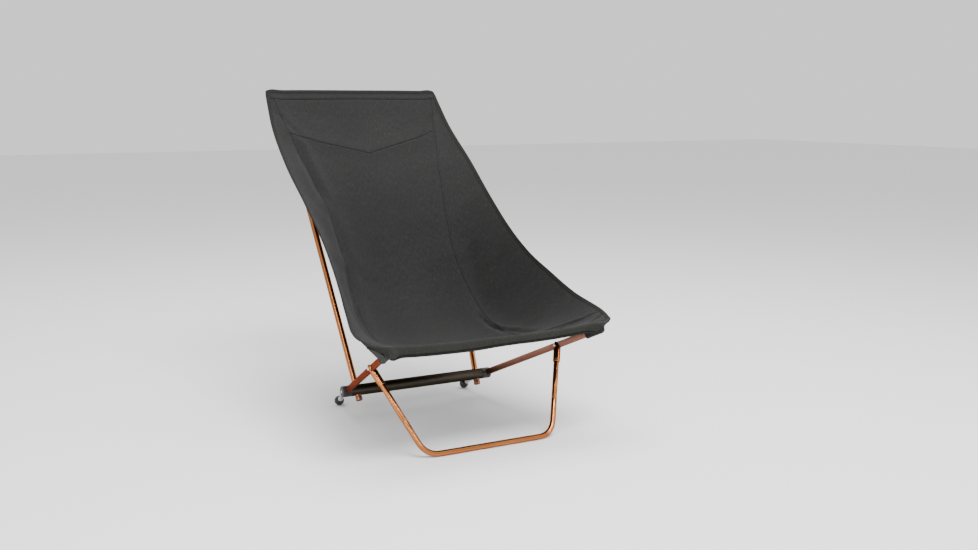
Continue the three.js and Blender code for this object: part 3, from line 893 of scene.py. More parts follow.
@dataclass
class MetalFrame:
    """Crossbar, rails, poles and front leg."""

    maker: Maker
    palette: Palette
    lines: FrameLines = field(default_factory=FrameLines)
    rail_corner: float = 1.3
    fork_clearance: float = 0.5
    fork_turn: float = 67.0
    fork_step: float = 5.5

    def build(self) -> None:
        """Makes the whole frame."""
        self.crossbar()
        self.front_bar()
        for side in Side:
            self.hub(side)
            self.rail(side)
            self.foot(side)
            self.pole(side)
            self.leg(side)
            self.hidden(side)

    def crossbar(self) -> None:
        """The tube across the chair, drilled for the poles."""
        lines, bore, wall = self.lines, self.lines.crossbar_bore, self.lines.crossbar_radius
        half = lines.crossbar_half
        outline = eased([(bore, -half), (wall, -half), (wall, half), (bore, half)], 0.6, 3, closed=True)
        tube = self.maker.lathe("crossbar", outline, lines.crossbar, lines.crossbar + vec(1, 0, 0),
                                self.palette.gunmetal, 64, ring=True)
        tools = []
        for side in Side:
            start = side.flip(lines.pole_at_crossbar)
            way = side.flip(lines.pole_slope)
            rod = [(0, -30), (lines.pole_radius + GAP, -30), (lines.pole_radius + GAP, 30), (0, 30)]
            tools.append(self.maker.lathe("bore", rod, start, start + way, self.palette.gunmetal))
        fitted(self.maker.cut(tube, tools), Body.BACK, "crossbar_metal", "crossbar_tube")

    def rail_bar(self, name: str, side: Side, start: Array, end: Array, corner: float,
                 clearance: float = 0.0) -> bpy.types.Object:
        """A bar of the rail's section.

        Args:
            name: the piece's name.
            side: the side that it is on.
            start: its rear end on the left side.
            end: its front end on the left side.
            corner: how much its long edges are rounded.
            clearance: how much wider than the rail it is, all round.

        Returns:
            The new object.
        """
        wider = 2 * clearance
        section = slab(self.lines.rail_thickness + wider, self.lines.rail_height + wider, corner)
        ends = [side.flip(start), side.flip(end)]
        level = unit(np.cross(ends[1] - ends[0], vec(0, 0, 1)))
        path = np.array([ends[0] + (ends[1] - ends[0]) * t for t in (0.0, 0.004, 0.5, 0.996, 1.0)])
        tapered = None if clearance else pinched(0.9, 0.0, 1.0)
        return self.maker.sweep(name, path, section, level, self.palette.rail, tapered)

    def hub(self, side: Side) -> None:
        """The hub at a crossbar's end, with its slot for the rail, and the hub's screw.

        Args:
            side: the side that it is on.
        """
        lines, label = self.lines, side.label
        wall = lines.crossbar_radius
        start = lines.crossbar
        end = start + vec(side.value, 0, 0)
        groove = lines.hub_end - 4.2
        outline = eased([
            (0, lines.spigot_end), (lines.spigot_radius, lines.spigot_end),
            (lines.spigot_radius, lines.crossbar_half + 0.5), (wall, lines.crossbar_half + 0.5),
            (wall, groove), (wall - 0.7, groove + 0.5), (wall - 0.7, groove + 1.3), (wall, groove + 1.8),
            (wall - 0.2, lines.hub_end - 1.2), (wall - 2.2, lines.hub_end), (6.4, lines.hub_end),
            (5.9, lines.hub_end - 0.8), (0, lines.hub_end - 0.8),
        ], 0.5, 3)
        hub = self.maker.lathe(f"{label}_rail_hub", outline, start, end, self.palette.nylon, 64)
        middle = lines.rail_at_crossbar
        reach = lines.rail_way * 40
        slot = self.rail_bar("slot", side, middle - reach, middle + reach, 0.8, GAP)
        fitted(self.maker.cut(hub, [slot]), Body.SEAT, "black_plastic", f"{label}_rail_hub")
        face = start + vec(side.value * (lines.hub_end - 0.8), 0, 0)
        head = eased([(0, -9), (2, -9), (2, 0.1), (4.3, 0.1), (4.2, 1.5), (2.9, 2.6), (0, 2.8)], 0.5, 3)
        screw = self.maker.lathe(f"{label}_hub_screw", head, face, face + end - start,
                                 self.palette.steel, 40)
        key = [(0, 1.2), (1.75, 1.2), (1.75, 4), (0, 4)]
        socket = self.maker.lathe("socket", key, face, face + end - start, self.palette.steel, 6)
        fitted(self.maker.cut(screw, [socket]), Body.SEAT, "steel", f"{label}_hub_screw")

    def rail(self, side: Side) -> None:
        """The flat bar under a side of the seat.

        Args:
            side: the side that it is on.
        """
        lines = self.lines
        name = f"{side.label}_seat_rail"
        bar = self.rail_bar(name, side, lines.rail_rear, lines.rail_front, self.rail_corner)
        fitted(bar, Body.SEAT, "rail_metal", name)

    def foot(self, side: Side) -> None:
        """The turned stem and the ball behind a rail.

        Args:
            side: the side that it is on.
        """
        lines, label = self.lines, side.label
        rear, ball = side.flip(lines.rail_rear), side.flip(lines.ball)
        span = float(np.linalg.norm(ball - rear))
        shoulder = span - lines.ball_radius
        stem_line = [(0, 0.1), (4.4, 0.1), (4.4, 5), (3.6, 5.6), (3.6, shoulder - 15)]
        for ring in range(3):
            base = shoulder - 14.5 + ring * 1.9
            stem_line += [(3.6, base), (3.2, base + 0.4), (3.2, base + 0.9), (3.6, base + 1.3)]
        stem_line += [
            (3.6, shoulder - 8.6), (5.8, shoulder - 7), (5.8, shoulder - 0.6), (2.6, shoulder - 0.2),
            (2.6, span - 2), (0, span - 2),
        ]
        outline = eased(stem_line, 0.4, 2)
        stem = self.maker.lathe(f"{label}_foot_stem", outline, rear, ball, self.palette.steel, 40)
        fitted(stem, Body.SEAT, "steel", f"{label}_foot_stem")
        radius = lines.ball_radius
        seat = math.asin(6.4 / radius)
        arc = self.arc(radius, seat, math.pi / 2 - 0.06, 16)
        band = [(radius - 0.35, 0.45), (radius - 0.35, -0.45)]
        rest = self.arc(radius, math.pi / 2 + 0.06, math.pi, 22)
        outline = [(0, radius - 1.8), (6.2, radius - 1.8), *arc, *band, *rest]
        foot = self.maker.lathe(f"{label}_ball_foot", outline, ball, rear, self.palette.ball, 64)
        for vertex in foot.data.vertices:
            vertex.co.z = max(vertex.co.z, 0.0)
        fitted(foot, Body.SEAT, "ball_plastic", f"{label}_ball_foot")

    @staticmethod
    def arc(radius: float, start: float, end: float, count: int) -> list[tuple[float, float]]:
        """Part of a ball's outline.

        Args:
            radius: the ball's radius.
            start: the first point's angle from the axis.
            end: the last point's angle from the axis.
            count: how many points there are.

        Returns:
            (radius, height) pairs.
        """
        return [(radius * math.sin(a), radius * math.cos(a)) for a in np.linspace(start, end, count)]

    def pole(self, side: Side) -> None:
        """The two sections of a back pole and the cap on its foot.

        Args:
            side: the side that it is on.
        """
        lines, label = self.lines, side.label
        foot, joint = side.flip(lines.pole_foot), side.flip(lines.pole_joint)
        bore, wall = lines.pole_bore, lines.pole_radius
        length = float(np.linalg.norm(joint - foot))
        corners = [(bore, 3 + GAP), (wall, 3 + GAP), (wall, length - GAP / 2), (bore, length - GAP / 2)]
        outline = eased(corners, 0.5, 3, closed=True)
        lower = self.maker.lathe(f"{label}_lower_back_pole", outline, foot, joint, self.palette.copper, 48,
                                 ring=True)
        fitted(lower, Body.BACK, "copper_tube", f"{label}_lower_back_pole")
        path = bezier(joint, side.flip(lines.pole_bend), side.flip(lines.pole_tip), 40)
        path = np.vstack([path[:1], path[0] + (path[1] - path[0]) * 0.05, path[1:]])
        upper = self.maker.sweep(f"{label}_upper_back_pole", path, circle(wall, 40), vec(1, 0, 0),
                                 self.palette.copper, pinched(0.94, 0.0))
        fitted(upper, Body.BACK, "copper_tube", f"{label}_upper_back_pole")
        cup = [(0, 0), (6.6, 0), (8, 1.6), (8, 9.4), (7.7, 9.8), (7.7, 10.6), (8, 11), (8, 12.6),
               (wall + GAP, 12.6), (wall + GAP, 3), (0, 3)]
        outline = eased(cup, 0.5, 3)
        cap = self.maker.lathe(f"{label}_pole_foot_cap", outline, foot, joint, self.palette.rail, 48)
        fitted(cap, Body.BACK, "rail_metal", f"{label}_pole_foot_cap")

    def leg(self, side: Side) -> None:
        """The forked sleeve, its rivet and the upper tube of a limb.

        Args:
            side: the side that it is on.
        """
        lines, label = self.lines, side.label
        pivot, corner = side.flip(lines.pivot), side.flip(lines.corner)
        wall, reach = lines.sleeve_radius, lines.sleeve_below
        dome = [(wall * math.sin(a), -2 - wall * math.cos(a)) for a in np.linspace(0, math.pi / 2, 14)]
        groove = wall - 0.35
        bead = [(wall, reach - 5.2), (groove, reach - 4.8), (groove, reach - 3.9), (wall, reach - 3.5)]
        inside = lines.leg_radius + GAP
        lip = [(wall, reach - 0.9), (wall - 0.9, reach), (inside, reach), (inside, 28), (0, 28)]
        profile = [*dome, (wall, 4), (wall, 18), *bead, *lip]
        sleeve = self.maker.lathe(f"{label}_leg_sleeve", profile, pivot, corner, self.palette.copper, 64)
        tools = [self.fork_cutter(side)]
        for sign in (-1, 1):
            way = vec(sign, 0, 0)
            start = pivot + way * lines.spot_face
            face = [(0, 0), (5.2, 0), (5.2, 12), (0, 12)]
            tools.append(self.maker.lathe("spot", face, start, start + way, self.palette.copper, 40))
        fitted(self.maker.cut(sleeve, tools), Body.LEG, "copper_tube", f"{label}_leg_sleeve")
        half = lines.spot_face + GAP
        head = [
            (2.5, half), (4.6, half), (4.4, half + 0.9), (3.2, half + 1.7), (1.2, half + 2), (0, half + 2),
        ]
        outline = [(radius, -height) for radius, height in head[::-1]] + head
        rivet = self.maker.lathe(f"{label}_leg_pivot_rivet", eased(outline, 0.5, 3), pivot,
                                 pivot + vec(1, 0, 0), self.palette.steel, 40)
        fitted(rivet, Body.LEG, "steel", f"{label}_leg_pivot_rivet")
        length = lines.leg_joint * float(np.linalg.norm(corner - pivot))
        outer = lines.leg_radius
        bore = outer - 1.3
        corners = [(bore, 28.3), (outer, 28.3), (outer, length - GAP), (bore, length - GAP)]
        outline = eased(corners, 0.6, 3, closed=True)
        tube = self.maker.lathe(f"{label}_upper_leg_tube", outline, pivot, corner, self.palette.copper, 48,
                                ring=True)
        fitted(tube, Body.LEG, "copper_tube", f"{label}_upper_leg_tube")

    def fork_cutter(self, side: Side) -> bpy.types.Object:
        """The space that the rail sweeps inside the sleeve as the leg folds.

        Args:
            side: the side that it is on.

        Returns:
            The closed object to take away from the sleeve.
        """
        lines = self.lines
        pivot = side.flip(lines.pivot)
        start, end = lines.pivot - lines.rail_way * 60, lines.pivot + lines.rail_way * 60
        tool = self.rail_bar("fork", side, start, end, 0.2, self.fork_clearance)
        bar = np.array([corner.co for corner in tool.data.vertices]) / MM - self.maker.shift
        polygons = [list(polygon.vertices) for polygon in tool.data.polygons]
        points, faces = [], []
        for turn in np.arange(0.0, self.fork_turn, self.fork_step):
            spin = np.array(Matrix.Rotation(math.radians(-turn), 3, "X"))
            faces += [[corner + len(points) * len(bar) for corner in face] for face in polygons]
            points.append((bar - pivot) @ spin.T + pivot)
        swept = self.maker.mesh("swept_fork", np.vstack(points), faces, self.palette.copper)
        bpy.data.objects.remove(tool)
        return self.joined(swept)

    def joined(self, swept: bpy.types.Object) -> bpy.types.Object:
        """Melts the overlapping parts of a mesh into one shell.

        Args:
            swept: the mesh, which is changed.

        Returns:
            The same object, with one closed shell.
        """
        outline = [(0, 0), (0.5, 0), (0.5, 1), (0, 1)]
        speck = self.maker.lathe("speck", outline, vec(0, 0, -500), vec(0, 0, -499), self.palette.copper, 3)
        modifier = swept.modifiers.new("join", "BOOLEAN")
        modifier.operation = "UNION"
        modifier.solver = "EXACT"
        modifier.use_self = True
        modifier.object = speck
        melted = self.maker.settled(swept)
        swept.modifiers.clear()
        swept.data = melted
        bpy.data.objects.remove(speck)
        return swept

    def front_bar(self) -> None:
        """The bent tube that lies on the ground, with a spigot in each upper tube."""
        lines = self.lines
        corner, joint = lines.corner, lines.limb_joint
        bend_top = corner + unit(joint - corner) * lines.leg_bend
        bend_side = corner + unit(Side.RIGHT.flip(corner) - corner) * lines.leg_bend
        limb = joint + (bend_top - joint) * np.array([0.0, 0.03, 0.5])[:, None]
        half = np.vstack([limb, bezier(bend_top, corner, bend_side, 18)])
        path = np.vstack([half, Side.RIGHT.flip(half)[::-1]])
        bar = self.maker.sweep("front_leg_bar_tube", path, circle(lines.leg_radius, 40), vec(0, 1, 0),
                               self.palette.copper, pinched(0.93, 0.0, 1.0))
        for vertex in bar.data.vertices:
            vertex.co.z = max(vertex.co.z, 0.0)
        fitted(bar, Body.LEG, "copper_tube", "front_leg_bar")

    def hidden(self, side: Side) -> None:
        """Gives the pieces inside the frame their finishes.

        Args:
            side: the side that it is on.
        """
        inside = {
            "hub_bearing": self.palette.nylon, "rail_tip_cap": self.palette.nylon,
            "pole_top_cap": self.palette.nylon, "pole_ferrule": self.palette.steel,
            "pole_shock_cord": self.palette.elastic,
        }
        for name, material in inside.items():
            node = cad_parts[f"{side.label}_{name}"]
            node.data.materials.clear()
            node.data.materials.append(material)
            log.info("%s keeps its own shape", node.name)


# ---- sling ------------------------------------------------------------------------------------


class CurveThrough:
    """A smooth curve through points, at even steps of its parameter."""

    def __init__(self, points: Sequence[Sequence[float]]) -> None:
        """Keeps the points with one more at each end.

        Args:
            points: the points that the curve passes through.
        """
        knots = np.array(points, float)
        self.knots = np.vstack([2 * knots[0] - knots[1], knots, 2 * knots[-1] - knots[-2]])

    def at(self, share: Array) -> Array:
        """Points at shares of the curve's parameter, from 0 to 1."""
        place = np.asarray(share, float) * (len(self.knots) - 3)
        first = np.clip(np.floor(place).astype(int), 0, len(self.knots) - 4)
        step = (place - first)[..., None]
        before, start, end, after = (self.knots[first + k] for k in range(4))
        return hermite(start, end, (end - before) / 2, (after - start) / 2, step)


def hermite(start: Array, end: Array, leaving: Array, arriving: Array, step: Array) -> Array:
    """A point between two ends of a curve with given tangents.

    Args:
        start: where step is 0.
        end: where step is 1.
        leaving: the tangent at the start.
        arriving: the tangent at the end.
        step: how far along the point is, from 0 to 1.

    Returns:
        The point.
    """
    two, three = step * step, step * step * step
    return ((2 * three - 3 * two + 1) * start + (three - 2 * two + step) * leaving
            + (3 * two - 2 * three) * end + (three - two) * arriving)


@dataclass(frozen=True)
class Crease:
    """A soft fold on the front of the cloth, between two places given as (x, distance from the top)."""

    start: tuple[float, float]
    end: tuple[float, float]
    depth: float
    width: float

    def height(self, x: Array, run: Array) -> Array:
        """How far the fold lifts the cloth.

        Args:
            x: each point's x.
            run: each point's distance from the top, along the cloth.

        Returns:
            The lift towards the front, in millimetres.
        """
        start, end = vec(*self.start), vec(*self.end)
        span = end - start
        place = np.stack([x, run], axis=-1) - start
        along = (place @ span) / (span @ span)
        beside = (place[..., 0] * span[1] - place[..., 1] * span[0]) / np.linalg.norm(span)
        fade = smooth((along + 0.15) / 0.4) * smooth((1.15 - along) / 0.4)
        away = beside / self.width
        valley = np.exp(-away ** 2)
        near_ridge = 0.45 * np.exp(-((away - 1.9) / 1.1) ** 2)
        far_ridge = 0.25 * np.exp(-((away + 2.1) / 1.2) ** 2)
        return self.depth * fade * (near_ridge + far_ridge - valley)


@dataclass
class Surface:
    """The middle layer of the sling. u runs from -1 to 1 across it, v from 0 at the top to 1."""

    edge: CurveThrough = field(default_factory=lambda: CurveThrough([
        [241, 403, 766], [250, 320, 672], [254, 205, 585], [249, 93, 506], [247, -15, 433],
        [254, -103, 378], [268, -185, 337], [284, -262, 300], [301, -345, 274], [288, -408, 261],
    ]))
    seam: CurveThrough = field(default_factory=lambda: CurveThrough([
        [230, 404, 768], [203, 322, 660], [176, 236, 557], [158, 166, 464], [148, 104, 372],
        [152, 34, 288], [157, -66, 218], [160, -186, 200], [162, -308, 224], [165, -403, 252],
    ]))
    centre: CurveThrough = field(default_factory=lambda: CurveThrough([
        [0, 408, 770], [0, 324, 659], [0, 248, 560], [0, 186, 460], [0, 124, 356],
        [0, 46, 262], [0, -58, 196], [0, -186, 182], [0, -310, 210], [0, -400, 250],
    ]))
    length: float = 1150.0
    hem_end: float = 0.021
    front_end: float = 0.995
    yoke_point: float = 0.165
    yoke_side: float = 0.110
    yoke_reach: float = 0.45
    tip_rise: float = 3.0
    tip_place: float = 224.0
    tip_width: float = 17.0
    tip_depth: float = 30.0
    calm_front: float = 12.0
    settled: Array | None = None
    creases: tuple[Crease, ...] = ()

    def top_edge(self, u: Array) -> Array:
        """Where the top edge is at a place across the sling: its corners are rounded off."""
        return 0.013 * (np.maximum(np.abs(u) - 0.9, 0) / 0.1) ** 2

    def front_edge(self, u: Array) -> Array:
        """Where the seat's front edge is at a place across the sling: its corners are rounded off."""
        return self.front_end - 0.02 * (np.maximum(np.abs(u) - 0.88, 0) / 0.12) ** 2.5

    def yoke_end(self, u: Array) -> Array:
        """Where the yoke's lower seam is at a place across the sling."""
        beside = np.minimum(np.abs(u) / self.yoke_reach, 1)
        return self.yoke_point - (self.yoke_point - self.yoke_side) * beside

    def bare(self, u: Array, v: Array) -> Array:
        """Points of the sling as it is cut, without its folds.

        Args:
            u: places across it.
            v: places along it.

        Returns:
            One point for each place.
        """
        edge, seam, centre = self.edge.at(v), self.seam.at(v), self.centre.at(v)
        other = Side.RIGHT.flip(seam)
        beyond = 2 * edge - seam
        reach = np.abs(u)[..., None]
        inner = spaced_curve(other, centre, seam, edge, np.minimum(reach * 2, 1))
        outer = spaced_curve(centre, seam, edge, beyond, np.maximum(reach * 2 - 1, 0))
        point = np.where(reach <= 0.5, inner, outer)
        point[..., 0] *= np.where(u < 0, -1, 1)
        return point

    def back_normal(self, u: Array, v: Array) -> Array:
        """Which way the back of the cloth faces.

        Args:
            u: places across it.
            v: places along it.

        Returns:
            One direction of length 1 for each place.
        """
        small = 0.004
        across = self.bare(np.minimum(u + small, 1), v) - self.bare(np.maximum(u - small, -1), v)
        down = self.bare(u, np.minimum(v + small, 1)) - self.bare(u, np.maximum(v - small, 0))
        return unit(np.cross(across, down))

    def at(self, u: Array, v: Array) -> Array:
        """Points of the hung sling, with its folds.

        Args:
            u: places across it.
            v: places along it.

        Returns:
            One point for each place.
        """
        u, v = np.broadcast_arrays(np.asarray(u, float), np.asarray(v, float))
        point = self.bare(u, v)
        run = v * self.length
        lift = sum((crease.height(point[..., 0], run) for crease in self.creases), np.zeros(u.shape))
        lift = lift * smooth((self.front_end - v) * self.length / self.calm_front)
        point = point - self.back_normal(u, v) * lift[..., None]
        tip = np.exp(-((np.abs(point[..., 0]) - self.tip_place) / self.tip_width) ** 2)
        point[..., 2] += self.tip_rise * tip * np.exp(-(run / self.tip_depth) ** 2)
        return point if self.settled is None else point + self.sampled(u, v)

    def sampled(self, u: Array, v: Array) -> Array:
        """The settled cloth's shift at places on the sling.

        Args:
            u: places across it.
            v: places along it.

        Returns:
            One shift for each place, in millimetres.
        """
        rows, columns = self.settled.shape[0] - 1, self.settled.shape[1] - 1
        i, j = (u + 1) / 2 * rows, v * columns
        i0, j0 = np.clip(i.astype(int), 0, rows - 1), np.clip(j.astype(int), 0, columns - 1)
        a, b = smooth(i - i0)[..., None], smooth(j - j0)[..., None]
        grid = self.settled
        return ((1 - a) * (1 - b) * grid[i0, j0] + a * (1 - b) * grid[i0 + 1, j0]
                + (1 - a) * b * grid[i0, j0 + 1] + a * b * grid[i0 + 1, j0 + 1])


def spaced_curve(before: Array, start: Array, end: Array, after: Array, step: Array) -> Array:
    """A point between start and end on a curve whose knots are spaced by the root of their distance.

    Args:
        before: the knot before the start.
        start: where step is 0.
        end: where step is 1.
        after: the knot after the end.
        step: how far along the point is, from 0 to 1.

    Returns:
        The point.
    """
    gaps = [np.sqrt(np.linalg.norm(b - a, axis=-1, keepdims=True)) for a, b in
            ((before, start), (start, end), (end, after))]
    leaving = (start - before) / gaps[0] - (end - before) / (gaps[0] + gaps[1]) + (end - start) / gaps[1]
    arriving = (end - start) / gaps[1] - (after - start) / (gaps[1] + gaps[2]) + (after - end) / gaps[2]
    return hermite(start, end, leaving * gaps[1], arriving * gaps[1], step)


@dataclass
class Drape:
    """Lets the sling settle under its own weight, held at its edges and seams."""

    maker: Maker
    surface: Surface
    rows: int = 56
    columns: int = 112
    frames: int = 18
    reach: float = 7.0
    smoothing: int = 9

    def hold(self, u: Array, v: Array) -> Array:
        """How firmly each place is held, from 0 to 1.

        Args:
            u: places across it.
            v: places along it.

        Returns:
            One share for each place.
        """
        border = np.maximum(smooth((np.abs(u) - 0.9) / 0.1), smooth((0.05 - v) / 0.05))
        border = np.maximum(border, smooth((v - 0.95) / 0.05))
        seam = 0.55 * np.exp(-((np.abs(u) - 0.5) / 0.03) ** 2)
        yoke = 0.5 * np.exp(-((v - self.surface.yoke_end(u)) / 0.008) ** 2)
        return np.clip(np.maximum(border, np.maximum(seam, yoke)), 0.02, 1.0)

    def run(self) -> Array:
        """Simulates the cloth.

        Returns:
            The shift of each point of the grid, in millimetres.
        """
        across, along = np.linspace(-1, 1, self.rows + 1), np.linspace(0, 1, self.columns + 1)
        u, v = np.meshgrid(across, along, indexing="ij")
        start = self.surface.bare(u, v)
        faces = grid_faces(self.rows + 1, self.columns + 1)
        mesh = bpy.data.meshes.new("drape")
        mesh.from_pydata(self.maker.place(start.reshape(-1, 3)).tolist(), [], faces)
        cloth = bpy.data.objects.new("drape", mesh)
        bpy.context.scene.collection.objects.link(cloth)
        group = cloth.vertex_groups.new(name="held")
        for number, weight in enumerate(self.hold(u, v).ravel()):
            group.add([number], float(weight), "REPLACE")
        modifier = cloth.modifiers.new("cloth", "CLOTH")
        settings = modifier.settings
        settings.quality = 6
        settings.mass = 0.15
        settings.air_damping = 2.0
        settings.tension_stiffness = 40.0
        settings.compression_stiffness = 12.0
        settings.shear_stiffness = 6.0
        settings.bending_stiffness = 0.35
        settings.vertex_group_mass = "held"
        settings.pin_stiffness = 1.0
        settings.shrink_min = -0.012
        settings.effector_weights.gravity = 0.6
        modifier.point_cache.frame_start = 1
        modifier.point_cache.frame_end = self.frames
        for number in range(1, self.frames + 1):
            bpy.context.scene.frame_set(number)
        graph = bpy.context.evaluated_depsgraph_get()
        hung = cloth.evaluated_get(graph).to_mesh()
        points = np.zeros(len(hung.vertices) * 3, np.float32)
        hung.vertices.foreach_get("co", points)
        bpy.data.objects.remove(cloth)
        bpy.context.scene.frame_set(1)
        shift = points.reshape(*u.shape, 3) / MM - self.maker.shift - start
        size = np.linalg.norm(shift, axis=-1, keepdims=True)
        shift = shift * np.minimum(1.0, self.reach / np.maximum(size, 1e-6))
        return self.taut(shift)

    def taut(self, shift: Array) -> Array:
        """Takes out the small buckles that a stretched cloth doesn't keep.

        Args:
            shift: the shift of each point of the grid.

        Returns:
            The smoothed shift, unchanged at the borders.
        """
        for _ in range(self.smoothing):
            ring = shift[2:, 1:-1] + shift[:-2, 1:-1] + shift[1:-1, 2:] + shift[1:-1, :-2]
            shift[1:-1, 1:-1] = 0.5 * shift[1:-1, 1:-1] + 0.125 * ring
        return shift


@dataclass
class Sling:
    """The fabric of the chair: panels, hems, bindings, pockets and stitches."""

    maker: Maker
    palette: Palette
    lines: FrameLines = field(default_factory=FrameLines)
    surface: Surface = field(init=False)
    thickness: float = 1.2
    hem_thickness: float = 2.0
    seam_step: float = 0.0003
    seam_gap: float = 0.00012
    stitch_pitch: float = 3.3
    stitch_length: float = 2.7
    thread_width: float = 0.55
    stitch_offset: float = 3.4
    tape_face: float = 1.45
    tape_stitch_inset: float = 6.8
    blend_start: tuple[float, float, float] = (0.0, -0.235, 0.19)
    blend_end: tuple[float, float, float] = (0.0, 0.115, 0.245)

    def __post_init__(self) -> None:
        """Hangs the sling."""
        self.surface = Surface(creases=self.folds())
        self.surface.settled = Drape(self.maker, self.surface).run()

    @staticmethod
    def folds() -> tuple[Crease, ...]:
        """The soft folds that the cloth keeps between its held points."""
        folds = [
            Crease((-196, 140), (-166, 330), 7.5, 13),
            Crease((-151, 380), (-146, 530), 5.0, 13),
            Crease((-148, 540), (-168, 760), 5.5, 12),
            Crease((184, 500), (158, 740), 3.5, 15),
            Crease((146, 745), (157, 880), 3.6, 5.0),
            Crease((150, 800), (173, 890), 3.2, 4.5),
            Crease((162, 850), (186, 960), 3.0, 6.0),
            Crease((186, 1000), (256, 1046), 4.0, 5.5),
            Crease((194, 1036), (288, 1042), 2.6, 6.0),
        ]
        for sign in (1, -1):
            folds += [
                Crease((sign * 228, 60), (sign * 160, 150), 1.8, 8),
                Crease((sign * 172, 1120), (sign * 136, 1070), 3.0, 5.0),
                Crease((sign * 240, 1126), (sign * 290, 1070), 3.0, 5.5),
            ]
        return tuple(folds)

    def soften(self, piece: bpy.types.Object, slot: str, *nodes: str) -> bpy.types.Object:
        """Lets a piece of cloth stand for nodes, with its transform baked into its mesh.

        Args:
            piece: the piece.
            slot: not used.
            nodes: the nodes that it stands for.

        Returns:
            The piece.
        """
        if nodes:
            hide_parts(*nodes)
        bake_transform(piece)
        log.info("%s bends between the seat and the back", piece.name)
        return piece

    @staticmethod
    def clustered(length: float, pitch: float) -> Array:
        """Shares from 0 to 1, closer together near both ends.

        Args:
            length: the length that they divide, in millimetres.
            pitch: the distance between them away from the ends.

        Returns:
            The shares in order.
        """
        near = np.array([0.0, 0.7, 1.6, 2.8]) / length
        even = np.linspace(4.5 / length, 1 - 4.5 / length, max(int(length / pitch), 3))
        return np.concatenate([near, even, 1 - near[::-1]])

    def panel(self, name: str, across: tuple[float, float], start: Callable[[Array], Array],
              end: Callable[[Array], Array], size: tuple[float, float], pitch: float,
              material: bpy.types.Material, thickness: float,
              roll: float = 1.5) -> tuple[bpy.types.Object, float]:
        """A panel of cloth whose edges turn back into their seams.

        Args:
            name: the piece's name.
            across: the u of its two long edges.
            start: the v of its upper edge, for each u.
            end: the v of its lower edge, for each u.
            size: about how wide and long it is.
            pitch: the distance between its points.
            material: its finish.
            thickness: its thickness.
            roll: how far its edges turn back.

        Returns:
            The piece and its flat area in square metres.
        """
        u_line = across[0] + (across[1] - across[0]) * self.clustered(size[0], pitch)
        share = self.clustered(size[1], pitch * 1.15)
        u = np.repeat(u_line[:, None], len(share), axis=1)
        v = start(u) + (end(u) - start(u)) * share[None, :]
        middle = self.surface.at(u, v)
        back = self.surface.back_normal(u, v)
        run_u, run_v = lengths_both(middle)
        nearest = [run_u, run_u[-1:] - run_u, run_v, run_v[:, -1:] - run_v]
        curl = sum(np.exp(-(away / 1.7) ** 2) for away in nearest)
        middle = middle + back * (roll * curl)[..., None]
        points, faces = self.shell(middle, back, thickness)
        grain = np.stack([run_u - run_u[len(u_line) // 2], run_v + v[:, :1] * self.surface.length], axis=-1)
        coords = np.vstack([grain.reshape(-1, 2)] * 2) * MM
        piece = self.maker.mesh(name, points, faces, material, coords, SHARP_CLOTH)
        side_a = np.diff(middle, axis=0)[:, :-1]
        side_b = np.diff(middle, axis=1)[:-1]
        area = float(np.linalg.norm(np.cross(side_a, side_b), axis=-1).sum()) * MM * MM
        return piece, area

    @staticmethod
    def shell(middle: Array, back: Array, thickness: float) -> tuple[Array, list[list[int]]]:
        """Gives a grid of points a thickness.

        Args:
            middle: the cloth's middle layer, as a grid of points.
            back: the directions that its back faces.
            thickness: its thickness.

        Returns:
            The points and faces of the closed shell.
        """
        shape = middle.shape[:2]
        layers = [(middle + back * sign * thickness / 2).reshape(-1, 3) for sign in (-1, 1)]
        count = shape[0] * shape[1]
        faces = grid_faces(*shape) + grid_faces(*shape, offset=count, flip=True)
        numbers = np.arange(count).reshape(shape)
        sides = [numbers[:, 0], numbers[-1, 1:], numbers[-2::-1, -1], numbers[0, -2:0:-1]]
        rim = np.concatenate(sides).tolist()
        for a, b in zip(rim, rim[1:] + rim[:1]):
            faces.append([a, b, b + count, a + count])
        return np.vstack(layers), faces

    def gusset(self, side: Side) -> bpy.types.Object:
        """The web of cloth between a front corner and the pocket under it.

        Args:
            side: the side that it is on.

        Returns:
            The new piece.
        """
        lines = self.lines
        share = np.linspace(0, 1, 26)
        v = 0.925 + (float(self.surface.front_edge(vec(1))[0]) - 0.925) * share
        upper = self.surface.at(np.full_like(v, 0.985), v) + vec(0, 0, -1.2)
        along = (-38 + 44 * share)[:, None]
        outward = unit(np.cross(lines.rail_way, vec(0, 0, 1)))
        outward = outward * math.copysign(1.0, outward[0])
        lower = lines.rail_front + lines.rail_way * along + outward * 5.6 + vec(0, 0, -6.0)
        across = np.linspace(0, 1, 14)[None, :, None]
        sag = np.sin(across * math.pi) * vec(-1.6, 1.0, -2.6)
        middle = side.flip(upper[:, None] * (1 - across) + lower[:, None] * across + sag)
        normal = unit(np.cross(np.gradient(middle, axis=0), np.gradient(middle, axis=1)))
        points, faces = self.shell(middle, normal, self.thickness)
        grain = np.stack(lengths_both(middle), axis=-1)
        coords = np.vstack([grain.reshape(-1, 2)] * 2) * MM
        name = f"{side.label}_corner_gusset"
        piece = self.maker.mesh(name, points, faces, self.palette.cloth, coords, SHARP_CLOTH)
        return fitted(piece, Body.SEAT, "sling_fabric")

    @staticmethod
    def level(v: float) -> Callable[[Array], Array]:
        """A panel's end that lies at the same v for every u."""
        return lambda u: np.full_like(u, v)

